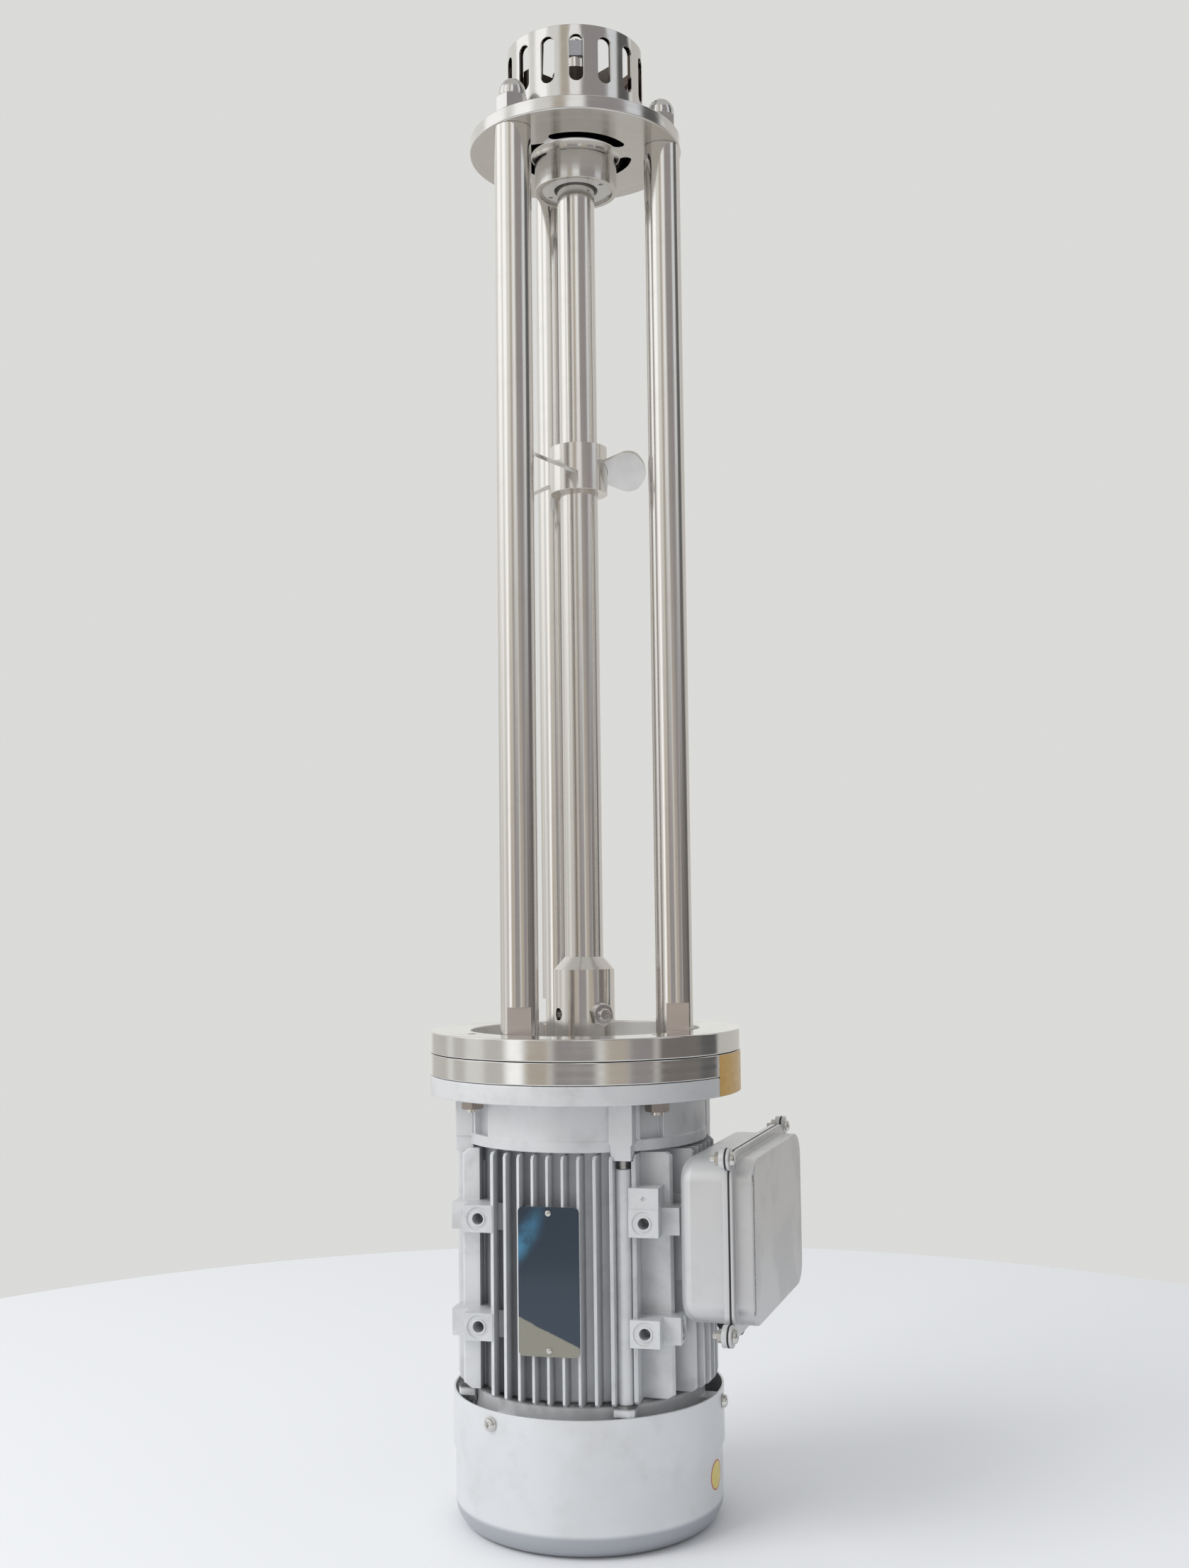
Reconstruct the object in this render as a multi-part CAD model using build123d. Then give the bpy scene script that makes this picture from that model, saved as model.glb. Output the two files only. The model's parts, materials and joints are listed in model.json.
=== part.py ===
from build123d import *
from math import cos, radians, sin
import os

# Batch high shear mixer, stood on its fan cowl with the mixing head on top.
# Millimetres. The origin is on the shaft axis at the cowl's end face, and +Z runs up along the shaft.
# The terminal box stands out towards +X.

os.makedirs("parts", exist_ok=True)

# Lengths along the shaft, from the floor up
cowl_height = 82.0
cowl_to_frame_gap = 6.0
frame_length = 148.0
shield_length = 30.0
flange_thickness = 12.0
seal_plate_thickness = 14.0
ring_thickness = 13.5
rod_length = 595.5
head_plate_thickness = 9.2
stator_height = 59.7

frame_bottom = cowl_height + cowl_to_frame_gap
frame_top = frame_bottom + frame_length
flange_bottom = frame_top + shield_length
flange_top = flange_bottom + flange_thickness
seal_plate_top = flange_top + seal_plate_thickness
ring_top = seal_plate_top + ring_thickness
plate_bottom = seal_plate_top + rod_length
plate_top = plate_bottom + head_plate_thickness
stator_top = plate_top + stator_height

# Clearances
running_gap = 0.05
loose_gap = 0.3
ball_gap = 0.08
rotor_gap = 0.6

# Fan cowl
cowl_rim_radius = 86.0
cowl_body_radius = 84.5
cowl_end_radius = 72.0
cowl_wall = 1.5
cowl_bowl_height = 14.0
cowl_step_height = 46.0
cowl_step_rise = 2.5
grille_rows = (28.0, 41.0, 54.0)
grille_slot_width = 3.6
grille_slots_per_row = 6
grille_web_angle = 14.0
cowl_screw_angles = (0.0, 120.0, -120.0)
cowl_screw_height = 74.0
cowl_screw_radius = 2.0
cowl_screw_head_radius = 4.0
cowl_screw_head_height = 2.4
cowl_washer_radius = 4.6
cowl_washer_thickness = 0.8
cowl_pad_width = 14.0
cowl_pad_bottom = 68.5
cowl_screw_depth = 10.0

# Motor frame casting
core_radius = 65.0
frame_wall = 5.0
fin_tip_radius = 82.5
fin_tip_thickness = 1.7
fin_root_thickness = 2.4
fin_pitch = 9.45
front_fin_count = 9
front_fin_first = -42.7
outer_fin_place = 45.4
side_fin_count = 8
side_fin_first = -33.1
corner_fin_place = -50.9
fin_end_gap = 1.5
fin_end_chamfer = 2.0
corner_web_face = 51.8
corner_web_thickness = 2.0
corner_web_inner = 56.0
corner_web_column = 4.0
corner_web_radius = 84.0
foot_pad_face = 71.5
foot_pad_spacing = 103.0
foot_pad_width = 18.4
foot_pad_height = 16.4
foot_pad_low = 42.1
foot_pad_rise = 64.5
foot_hole_radius = 3.4
foot_hole_depth = 16.0
foot_groove_outer = 7.0
foot_groove_inner = 4.6
foot_groove_depth = 0.8
earth_pad_height = 12.6
earth_pad_step = 0.8
earth_dimple_radius = 1.3
plate_pad_left = -21.5
plate_pad_right = 13.5
plate_pad_low = 31.0
plate_pad_high = 115.5

# Nameplate, left bare
nameplate_width = 37.5
nameplate_height = 87.5
nameplate_thickness = 0.8
nameplate_corner = 3.0
nameplate_rivet_inset = 3.6
rivet_radius = 1.9
rivet_height = 1.0
rivet_shank = 1.2
rivet_depth = 5.0

# Tie bolts and the lugs that they join
tie_bolt_x = 38.6
tie_bolt_y = -66.0
tie_bolt_radius = 2.5
tie_bolt_clearance = 0.5
tie_lug_width = 12.6
tie_lug_inner = 62.0
tie_lug_outer = 73.5
tie_lug_overlap = 4.5
tie_lug_shoulder_width = 14.6
tie_lug_shoulder = 4.9
tie_relief_width = 3.0
tie_relief_depth = 6.5
rear_lug_height = 6.5
tie_head_radius = 4.7
tie_head_height = 3.6
tie_head_flats = 8.0
tie_column_radius = 4.8
tie_column_drop = 10.0
tie_thread_length = 24.0
quarter_turns = (0.0, 90.0, 180.0, 270.0)

# Ball bearings, both of one size
bearing_bore_radius = 12.5
bearing_outer_radius = 26.0
bearing_width = 15.0
inner_race_radius = 16.9
outer_race_radius = 21.6
ball_radius = 3.97
ball_count = 9
wave_washer_thickness = 1.5
wave_washer_inner = 22.5
drive_bearing_drop = 19.0
rear_bearing_drop = 24.0

# End shields
shield_band_radius = 77.5
shield_band_height = 6.5
shield_drum_radius = 77.0
shield_inner_radius = 66.0
shield_roof = 4.0
bearing_hub_radius = 33.0
bearing_hub_floor = 3.5
register_inner = 62.0
register_length = 6.0
flange_radius = 100.0
spigot_radius = 65.0
spigot_height = 3.5
flange_shaft_hole = 16.0
nut_pocket_radius = 71.5
nut_pocket_width = 16.5
shield_pocket_edge = 0.5
rear_rim_radius = 74.0
rear_web_drop = 18.0
rear_web_thickness = 6.0
rear_shaft_hole = 14.0

# Motor core, windings and rotor
core_length = 104.0
core_drop = 22.0
air_gap = 0.4
stator_bore_radius = 36.4
winding_inner = 41.0
winding_outer = 60.0
winding_overhang = 17.0
rotor_bar_ring_inner = 22.0
rotor_bar_ring_length = 8.0
rotor_bar_ring_step = 2.5
rotor_shaft_radius = 15.0

# Motor shaft, its key and the fan
shaft_end_radius = 12.0
shaft_end_length = 50.0
fan_seat_radius = 11.0
key_width = 8.0
key_height = 7.0
key_depth = 4.0
key_length = 26.0
key_angle = 133.5
shaft_chamfer = 1.0
fan_hub_radius = 17.0
fan_hub_length = 26.0
fan_disc_radius = 64.0
fan_disc_thickness = 2.5
fan_vane_count = 8
fan_vane_thickness = 2.2
fan_vane_inner = 20.0
fan_vane_height = 24.0
fan_bottom = 26.0
clip_radius = 14.0
clip_thickness = 1.2
clip_groove = 0.8
clip_opening = 40.0

# Seal plate, mounting ring and their bolts
ring_hole_radius = 74.0
bolt_circle_diameter = 165.0
bolt_angles = (45.0, 135.0, -135.0, -45.0)
bolt_radius = 4.0
bolt_clearance = 0.5
bolt_head_radius = 7.9
bolt_head_height = 4.4
bolt_socket_flats = 5.0
bolt_socket_depth = 3.0
nut_flats = 13.0
nut_height = 6.5
nut_bevel = 0.9
bolt_overhang = 2.0
edge_break = 0.6
seal_radius = 20.0
seal_height = 8.0
seal_lip_hole = 16.0
seal_wall = 2.5

# Support rods
rod_radius = 12.0
rod_circle_radius = 59.0
rod_names = ("right", "left", "back")
rod_angles = (0.0, -120.0, 120.0)
rod_flat_facings = (-66.5, -76.5, -166.5)
rod_flats = 19.0
rod_flat_bottom = 12.5
rod_flat_height = 17.5
rod_foot_radius = 6.0
rod_foot_length = 10.0
rod_stud_radius = 5.0
rod_stud_length = 22.0
rod_washer_radius = 9.0
rod_washer_thickness = 1.5
cap_nut_flats = 17.0
cap_nut_hex_height = 8.0
cap_nut_dome_radius = 8.0
cap_nut_height = 18.0

# Head plate with its bearing housing
head_plate_radius = 71.0
kidney_radius = 34.0
kidney_width = 8.0
kidney_spread = 80.0
kidney_angles = (180.0, 60.0, -60.0)
housing_radius = 27.5
housing_length = 25.0
housing_flare = 2.2
housing_flare_height = 7.0
bush_bore_radius = 24.5
bush_lip = 3.0
bush_lip_hole = 16.0
cover_thickness = 3.0
cover_recess = 1.7
cover_shaft_hole = 14.6
cover_pin_hole_radius = 1.6
cover_pin_circle = 19.5
cover_pin_angle = -17.5
snap_ring_width = 1.4
snap_ring_thickness = 1.1
snap_ring_groove = 0.8
snap_ring_opening = 26.0
snap_ring_turn = 20.0

# Stator cage and the rotor inside it
stator_radius = 46.0
stator_wall = 3.6
stator_slot_count = 15
stator_slot_width = 9.2
stator_slot_height = 31.0
stator_slot_rim = 6.9
stator_slot_phase = -3.0
rotor_hub_radius = 15.0
rotor_floor_gap = 2.8
rotor_blade_top = 21.4
rotor_hub_top = 12.4
rotor_blade_count = 4
rotor_blade_thickness = 6.0
rotor_blade_phase = -36.0
rotor_bore_radius = 9.0
collar_radius = 8.2
collar_height = 10.4
head_nut_flats = 18.0
head_nut_height = 10.8
head_thread_radius = 6.0
head_thread_end = 2.5

# Mixer shaft, its coupling sleeve and the set screw
mixer_shaft_radius = 12.5
sleeve_radius = 19.7
sleeve_floor_gap = 4.0
sleeve_length = 47.5
sleeve_cone = 8.0
sleeve_bore_end_gap = 2.0
set_screw_radius = 4.0
set_screw_height = 23.0
set_screw_angle = -46.5
open_hole_angle = -136.5
lock_nut_flats = 13.0
lock_nut_height = 4.4
lock_nut_hollow = 1.2
set_screw_stick_out = 1.2
set_screw_socket_flats = 4.0
set_screw_socket_depth = 3.0

# Propeller
propeller_height = 304.8
propeller_hub_radius = 19.0
propeller_hub_length = 31.1
propeller_blade_angles = (11.5, 131.5, -108.5)
propeller_tip_radius = 44.5
propeller_blade_thickness = 2.4
propeller_pitch = 27.0
blade_root_chord = 19.0
blade_wide_chord = 42.0
blade_wide_place = 34.0
blade_root_place = 15.0
blade_corner = 8.0
propeller_screw_angle = -172.0
propeller_screw_radius = 3.0

# Terminal box, turned a little on the frame
box_turn = -5.0
box_seat = 80.0
box_drop = 50.3
box_half_width = 69.9
box_half_height = 48.6
box_depth = 31.5
box_wall = 2.0
box_corner = 15.0
box_base_rounding = 8.0
box_fin_gap = 1.0
flange_margin = 5.0
rim_thickness = 3.4
lid_rim_thickness = 2.0
gasket_thickness = 0.8
lid_height = 13.4
lid_edge_rounding = 1.8
lid_notch_radius = 8.5
ear_radius = 6.5
ear_across = 77.5
ear_up = 50.5
box_screw_radius = 2.0
box_screw_head_radius = 3.9
box_screw_head_height = 2.6
box_screw_tail = 3.0
box_nut_flats = 7.0
box_nut_height = 3.0
box_pad_half_width = 34.0
box_pad_half_height = 30.0
box_pad_top_height = 22.0
lead_hole_radius = 11.0
mount_screw_across = 22.0
mount_screw_low = -9.0
mount_screw_high = 13.0
mount_screw_radius = 2.5
mount_screw_depth = 9.0
mount_head_radius = 4.6
mount_head_height = 3.0
board_width = 56.0
board_height = 22.0
board_thickness = 6.0
board_place = -28.0
post_radius = 2.0
post_height = 9.0
post_count = 6
start_capacitor_radius = 16.5
start_capacitor_length = 88.0
start_capacitor_place = 27.0
run_capacitor_radius = 13.5
run_capacitor_length = 70.0
run_capacitor_place = -4.5

# Cable gland under the box
gland_place = -6.0
gland_depth = 16.0
gland_flats = 20.0
gland_hex_height = 6.0
gland_thread_radius = 8.0
gland_thread_length = 9.0
gland_dome_radius = 9.6
gland_dome_length = 12.0
gland_bore_radius = 4.5
gland_nut_flats = 17.0
gland_boss_radius = 10.0
gland_boss_height = 1.0
gland_nut_height = 4.0

frame_radius = core_radius + frame_wall
box_centre_height = frame_top - box_drop
bolt_circle_radius = bolt_circle_diameter / 2
drive_bearing_bottom = flange_bottom - drive_bearing_drop
rear_bearing_bottom = frame_bottom - rear_bearing_drop
pitch_radius = (inner_race_radius + outer_race_radius) / 2
core_bottom = frame_bottom + core_drop
rotor_core_radius = stator_bore_radius - air_gap
sleeve_bottom = seal_plate_top + sleeve_floor_gap
sleeve_top = sleeve_bottom + sleeve_length
motor_shaft_top = flange_top + shaft_end_length
propeller_bottom = sleeve_top + sleeve_cone + propeller_height
rotor_bottom = plate_top + rotor_floor_gap
rotor_top = stator_top - rotor_hub_top
blade_top = stator_top - rotor_blade_top
stator_inner_radius = stator_radius - stator_wall
bush_top = plate_top - bush_lip
housing_bottom = plate_bottom - housing_length


def polar(radius, angle):
    """The X and Y of a point at a radius and an angle in degrees."""
    return radius * cos(radians(angle)), radius * sin(radians(angle))


def outline(*points):
    """A flat face inside straight edges."""
    return make_face(Polyline(*points, close=True))


def turned(face):
    """A solid of revolution from a face drawn with radius along X and height along Y."""
    return revolve(Plane.XZ * face, Axis.Z)


def tube(outer, inner, bottom, top):
    """A round wall about the shaft axis."""
    return turned(outline((inner, bottom), (outer, bottom), (outer, top), (inner, top)))


def disc(radius, bottom, top):
    """A round solid about the shaft axis."""
    return Pos(0, 0, bottom) * extrude(Circle(radius), top - bottom)


def hexagon(across_flats, height):
    """A hexagonal prism that stands on its origin."""
    return extrude(RegularPolygon(across_flats / 2, 6, major_radius=False), height)


def rod(radius, length):
    """A round bar that stands on its origin."""
    return extrude(Circle(radius), length)


def at(radius, angle, height, shape):
    """Stands a shape at a place round the shaft, turned to face outwards."""
    x, y = polar(radius, angle)
    return Pos(x, y, height) * Rot(0, 0, angle) * shape


def outwards(radius, angle, height, shape):
    """Lays an upright shape down so that it points away from the shaft."""
    return at(radius, angle, height, Rot(0, 90, 0) * shape)


def block(x0, x1, y0, y1, z0, z1):
    """A rectangular block between two corners."""
    size = Box(x1 - x0, y1 - y0, z1 - z0, align=(Align.MIN, Align.MIN, Align.MIN))
    return Pos(x0, y0, z0) * size


# Fan cowl

def cowl_shape(inset):
    """The solid that fills the cowl, drawn in by a wall."""
    end = cowl_end_radius - inset
    body = cowl_body_radius - inset
    rim = cowl_rim_radius - inset
    bowl = EllipticalCenterArc(
        (end, cowl_bowl_height),
        body - end,
        cowl_bowl_height - inset,
        start_angle=270,
        arc_size=90,
    )
    step_top = cowl_step_height + cowl_step_rise
    lines = Polyline(
        (body, cowl_bowl_height),
        (body, cowl_step_height),
        (rim, step_top),
        (rim, cowl_height),
        (0, cowl_height),
        (0, inset),
        (end, inset),
    )
    return turned(make_face([bowl, lines]))


def fan_cowl():
    shell = cowl_shape(0) - cowl_shape(cowl_wall)
    sector = 360 / grille_slots_per_row
    for row, radius in enumerate(grille_rows):
        for number in range(grille_slots_per_row):
            start = number * sector + row * sector / 2
            arc = CenterArc((0, 0), radius, start, sector - grille_web_angle)
            shell -= extrude(SlotArc(arc, grille_slot_width), cowl_wall)
    for angle in cowl_screw_angles:
        hole = rod(cowl_screw_radius, cowl_wall * 4)
        shell -= outwards(cowl_rim_radius - 2 * cowl_wall, angle, cowl_screw_height, hole)
    return shell


def cowl_screws():
    """Pan head screws with washers, one solid each."""
    screws = []
    for angle in cowl_screw_angles:
        head_edge = cowl_rim_radius + cowl_washer_thickness
        shank = rod(cowl_screw_radius, cowl_screw_depth)
        washer = rod(cowl_washer_radius, cowl_washer_thickness)
        head = rod(cowl_screw_head_radius, cowl_screw_head_height)
        head = fillet(head.faces().sort_by(Axis.Z)[-1].edges(), cowl_screw_head_height * 0.7)
        screw = outwards(cowl_rim_radius - cowl_screw_depth, angle, cowl_screw_height, shank)
        screw += outwards(cowl_rim_radius, angle, cowl_screw_height, washer)
        screw += outwards(head_edge, angle, cowl_screw_height, head)
        screws.append(screw)
    return screws


# Frame, shields and tie bolts

def tie_points():
    """The places of the tie bolts."""
    return [Rot(0, 0, turn) * Pos(tie_bolt_x, tie_bolt_y, 0) for turn in quarter_turns]


def tie_lug(bottom, top, margin=0.0, width=tie_lug_width):
    """The block on an end shield that one tie bolt goes through."""
    half = width / 2 + margin
    return block(
        tie_bolt_x - half,
        tie_bolt_x + half,
        -tie_lug_outer - margin,
        -tie_lug_inner + margin,
        bottom - margin,
        top,
    )


def fin_outline():
    """One tapered fin, drawn from the shaft axis out past the wall."""
    root = fin_root_thickness / 2
    tip = fin_tip_thickness / 2
    return outline((-root, 0), (-root, -frame_radius), (-tip, -fin_tip_radius), (tip, -fin_tip_radius),
                   (root, -frame_radius), (root, 0))


def corner_web():
    """The last side fin of a corner, which turns in to the wall instead of running on to it."""
    reach = -corner_web_radius
    face = -corner_web_face
    back = face + corner_web_thickness
    end = -corner_web_inner
    inner = end - corner_web_column
    web = outline((reach, face), (end, face), (end, -frame_radius / 2), (inner, -frame_radius / 2),
                  (inner, back), (reach, back))
    return web & Circle(corner_web_radius)


def fin_section():
    """The cross-section of the wall with its four groups of fins."""
    front = [front_fin_first + fin_pitch * number for number in range(front_fin_count)]
    front.append(outer_fin_place)
    side = [side_fin_first + fin_pitch * number for number in range(side_fin_count)]
    side.append(corner_fin_place)
    stubs = []
    for turn, places in ((0, front), (90, side), (180, front), (270, side)):
        for place in places:
            stubs.append(Rot(0, 0, turn) * Pos(place, 0) * fin_outline())
    section = (Sketch() + stubs) & Circle(fin_tip_radius)
    for turn in (0, 180):
        section += Rot(0, 0, turn) * corner_web()
    section += Circle(frame_radius)
    return section - Circle(core_radius)


def foot_pad(across, low):
    """A machined pad with a threaded hole inside a shallow ring."""
    half = foot_pad_width / 2
    return block(across - half, across + half, -foot_pad_face, -frame_radius / 2, low, low + foot_pad_height)


def foot_hole(across, height):
    """The threaded hole and the ring of one foot pad, to be cut away."""
    groove = rod(foot_groove_outer, foot_groove_depth) - rod(foot_groove_inner, foot_groove_depth)
    cut = rod(foot_hole_radius, foot_hole_depth) + groove
    return Pos(across, -foot_pad_face, height) * Rot(-90, 0, 0) * cut


def tie_column():
    """The cast column that hides one tie bolt, with its web to the frame's wall."""
    column_top = frame_top - tie_column_drop
    column = Pos(tie_bolt_x, tie_bolt_y, frame_bottom) * rod(tie_column_radius, column_top - frame_bottom)
    left = tie_bolt_x - tie_column_radius
    right = tie_bolt_x + tie_column_radius
    return column + block(left, right, tie_bolt_y, -frame_radius / 2, frame_bottom, column_top)


def fin_end_cut():
    """The rings that shorten the fins under the shield and bevel their corners at both ends."""
    outer = 2 * corner_web_radius - fin_tip_radius
    inner = fin_tip_radius - fin_end_chamfer
    rise = outer - inner
    fin_top = frame_top - fin_end_gap
    top = outline(
        (frame_radius, fin_top),
        (inner, fin_top),
        (outer, fin_top - rise),
        (outer, frame_top),
        (frame_radius, frame_top),
    )
    bottom = outline((inner, frame_bottom), (outer, frame_bottom + rise), (outer, frame_bottom))
    return turned(top) + turned(bottom)


def box_place(shape):
    """Puts a shape drawn square to +X into the terminal box's own direction."""
    return Rot(0, 0, box_turn) * Pos(0, 0, box_centre_height) * shape


def box_footprint():
    """The half width, half height and corner of the room that the fins leave for the box."""
    margin = 2 * box_fin_gap
    return box_half_width + margin, box_half_height + margin, box_corner


def motor_frame():
    """The finned casting with its pads, bored for the core."""
    body = Pos(0, 0, frame_bottom) * extrude(fin_section(), frame_length)
    body -= fin_end_cut()
    body -= box_place(slab(box_seat - box_fin_gap, box_depth, *box_footprint()))
    lows = [frame_bottom + foot_pad_low - foot_pad_height / 2]
    lows.append(lows[0] + foot_pad_rise)
    pads = []
    holes = []
    for turn in quarter_turns:
        for across in (-foot_pad_spacing / 2, foot_pad_spacing / 2):
            for low in lows:
                pads.append(Rot(0, 0, turn) * foot_pad(across, low))
                holes.append(Rot(0, 0, turn) * foot_hole(across, low + foot_pad_height / 2))
    earth_low = lows[1] + foot_pad_height
    half = foot_pad_width / 2
    earth_left = foot_pad_spacing / 2 - half
    earth_face = foot_pad_face - earth_pad_step
    earth_high = earth_low + earth_pad_height
    pads.append(block(earth_left, earth_left + 2 * half, -earth_face, -frame_radius / 2, earth_low, earth_high))
    dimple = Pos(foot_pad_spacing / 2, -earth_face, (earth_low + earth_high) / 2) * Sphere(earth_dimple_radius)
    pads.append(
        block(
            plate_pad_left,
            plate_pad_right,
            -fin_tip_radius,
            -frame_radius / 2,
            frame_bottom + plate_pad_low,
            frame_bottom + plate_pad_high,
        )
    )
    seat = block(
        frame_radius / 2,
        box_seat,
        -box_pad_half_width,
        box_pad_half_width,
        -box_pad_half_height,
        box_pad_top_height,
    )
    pads.append(box_place(seat))
    pads += [Rot(0, 0, turn) * tie_column() for turn in quarter_turns]
    for pad in pads:
        body += pad
    body -= Pos(0, 0, frame_bottom) * rod(core_radius, frame_length)
    for hole in holes:
        body -= hole
    body -= dimple
    for place in tie_points():
        body -= place * Pos(0, 0, frame_bottom) * rod(tie_bolt_radius + tie_bolt_clearance, frame_length)
    for turn in quarter_turns:
        body -= Rot(0, 0, turn) * tie_lug(frame_top - tie_lug_overlap, frame_top, loose_gap)
    body -= box_place(Pos(frame_radius / 2, 0, 0) * Rot(0, 90, 0) * rod(lead_hole_radius, box_seat))
    for place in mount_screw_places():
        drill = Rot(0, 90, 0) * rod(mount_screw_radius, mount_screw_depth)
        body -= box_place(Pos(box_seat - mount_screw_depth, 0, 0) * place * drill)
    # The nameplate's rivets go into the pad under it.
    for height in rivet_heights():
        drill = Rot(-90, 0, 0) * rod(rivet_shank, rivet_depth)
        body -= Pos(nameplate_middle(), -fin_tip_radius, height) * drill
    return body


def tie_relief():
    """The deep groove beside one lug of the drive end shield."""
    left = tie_bolt_x + tie_lug_shoulder_width / 2
    inner = tie_lug_outer - tie_relief_depth
    return block(left, left + tie_relief_width, -flange_radius, -inner, frame_top, flange_bottom)


def drive_end_flange():
    """The drive end shield and its mounting flange, one casting."""
    band_top = frame_top + shield_band_height
    roof = flange_bottom - shield_roof
    profile = outline(
        (bearing_outer_radius, drive_bearing_bottom),
        (bearing_hub_radius, drive_bearing_bottom),
        (bearing_hub_radius, roof),
        (shield_inner_radius, roof),
        (shield_inner_radius, frame_top),
        (shield_band_radius, frame_top),
        (shield_band_radius, band_top),
        (shield_drum_radius, band_top + shield_band_radius - shield_drum_radius),
        (shield_drum_radius, flange_bottom),
        (flange_radius, flange_bottom),
        (flange_radius, flange_top),
        (spigot_radius, flange_top),
        (spigot_radius, flange_top + spigot_height),
        (flange_shaft_hole, flange_top + spigot_height),
        (flange_shaft_hole, drive_bearing_bottom + bearing_width),
        (bearing_outer_radius, drive_bearing_bottom + bearing_width),
    )
    body = turned(profile)
    body += tube(shield_inner_radius + 2, register_inner, frame_top, frame_top + register_length)
    body += tube(core_radius, register_inner, frame_top - register_length / 2, frame_top)
    rim = body.edges().filter_by(GeomType.CIRCLE).group_by(Axis.Z)
    rim = [edge for group in rim for edge in group if abs(edge.radius - flange_radius) < 0.01]
    body = chamfer(rim, edge_break)
    for angle in bolt_angles:
        pocket = block(
            nut_pocket_radius,
            flange_radius,
            -nut_pocket_width / 2,
            nut_pocket_width / 2,
            band_top + shield_pocket_edge,
            flange_bottom,
        )
        body -= Rot(0, 0, angle) * pocket
        hole = rod(bolt_radius + bolt_clearance, flange_thickness)
        body -= at(bolt_circle_radius, angle, flange_bottom, hole)
    for turn in quarter_turns:
        body -= Rot(0, 0, turn) * tie_relief()
        body += Rot(0, 0, turn) * tie_lug(frame_top - tie_lug_overlap, flange_bottom)
        shoulder = frame_top + tie_lug_shoulder
        body += Rot(0, 0, turn) * tie_lug(shoulder, flange_bottom, width=tie_lug_shoulder_width)
    for place in tie_points():
        drill = rod(tie_bolt_radius, tie_thread_length + tie_lug_overlap)
        body -= place * Pos(0, 0, frame_top - tie_lug_overlap) * drill
    return body


def rear_end_shield():
    """The shield inside the cowl, with the fan end bearing seat and the cowl's screw pads."""
    web_bottom = frame_bottom - rear_web_drop
    web_top = web_bottom + rear_web_thickness
    hub_bottom = rear_bearing_bottom - wave_washer_thickness - bearing_hub_floor
    bearing_top = rear_bearing_bottom + bearing_width
    profile = outline(
        (rear_shaft_hole, hub_bottom),
        (bearing_hub_radius, hub_bottom),
        (bearing_hub_radius, web_bottom),
        (rear_rim_radius, web_bottom),
        (rear_rim_radius, frame_bottom),
        (core_radius, frame_bottom),
        (core_radius, frame_bottom + register_length),
        (register_inner, frame_bottom + register_length),
        (register_inner, web_top),
        (bearing_hub_radius, web_top),
        (bearing_hub_radius, bearing_top),
        (bearing_outer_radius, bearing_top),
        (bearing_outer_radius, hub_bottom + bearing_hub_floor),
        (rear_shaft_hole, hub_bottom + bearing_hub_floor),
    )
    body = turned(profile)
    pad_outer = cowl_rim_radius - cowl_wall
    pad_top = frame_bottom - rear_lug_height - tie_head_height - loose_gap
    for angle in cowl_screw_angles:
        half = cowl_pad_width / 2
        pad = block(rear_rim_radius - 3, pad_outer + 2, -half, half, cowl_pad_bottom, pad_top)
        pad = Rot(0, 0, angle) * pad & disc(pad_outer, cowl_pad_bottom, pad_top)
        body += pad
    lug_reach = disc(pad_outer - loose_gap, frame_bottom - rear_lug_height, frame_bottom)
    for turn in quarter_turns:
        body += Rot(0, 0, turn) * tie_lug(frame_bottom - rear_lug_height, frame_bottom) & lug_reach
    lug_bottom = frame_bottom - rear_lug_height
    for place in tie_points():
        pocket = rod(tie_head_radius + loose_gap, tie_head_height + loose_gap)
        body -= place * Pos(0, 0, lug_bottom - tie_head_height - loose_gap) * pocket
        body -= place * Pos(0, 0, lug_bottom) * rod(tie_bolt_radius, rear_lug_height)
    for angle in cowl_screw_angles:
        drill = rod(cowl_screw_radius, cowl_screw_depth)
        body -= outwards(cowl_rim_radius - cowl_screw_depth, angle, cowl_screw_height, drill)
    return body


def tie_bolts():
    bottom = frame_bottom - rear_lug_height
    top = frame_top - tie_lug_overlap + tie_thread_length
    bolts = []
    for place in tie_points():
        bolt = Pos(0, 0, bottom) * rod(tie_bolt_radius, top - bottom)
        head = hexagon(tie_head_flats, tie_head_height)
        bolt += Pos(0, 0, bottom - tie_head_height) * head
        bolts.append(place * bolt)
    return bolts


# Nameplate

def nameplate_middle():
    return (plate_pad_left + plate_pad_right) / 2


def nameplate_centre():
    return frame_bottom + (plate_pad_low + plate_pad_high) / 2


def rivet_heights():
    reach = nameplate_height / 2 - nameplate_rivet_inset
    return (nameplate_centre() - reach, nameplate_centre() + reach)


def nameplate():
    sheet = extrude(RectangleRounded(nameplate_width, nameplate_height, nameplate_corner), nameplate_thickness)
    sheet = Pos(nameplate_middle(), -fin_tip_radius, nameplate_centre()) * Rot(90, 0, 0) * sheet
    for height in rivet_heights():
        drill = Rot(90, 0, 0) * rod(rivet_shank, nameplate_thickness)
        sheet -= Pos(nameplate_middle(), -fin_tip_radius, height) * drill
    return sheet


def nameplate_rivets():
    face = fin_tip_radius + nameplate_thickness
    rivets = []
    for height in rivet_heights():
        head = rod(rivet_radius, rivet_height)
        head = fillet(head.faces().sort_by(Axis.Z)[-1].edges(), rivet_height * 0.8)
        shank_length = rivet_depth + nameplate_thickness
        shank = Pos(0, 0, -shank_length) * rod(rivet_shank, shank_length)
        rivets.append(Pos(nameplate_middle(), -face, height) * Rot(90, 0, 0) * (head + shank))
    return rivets


# Bearings

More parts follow.
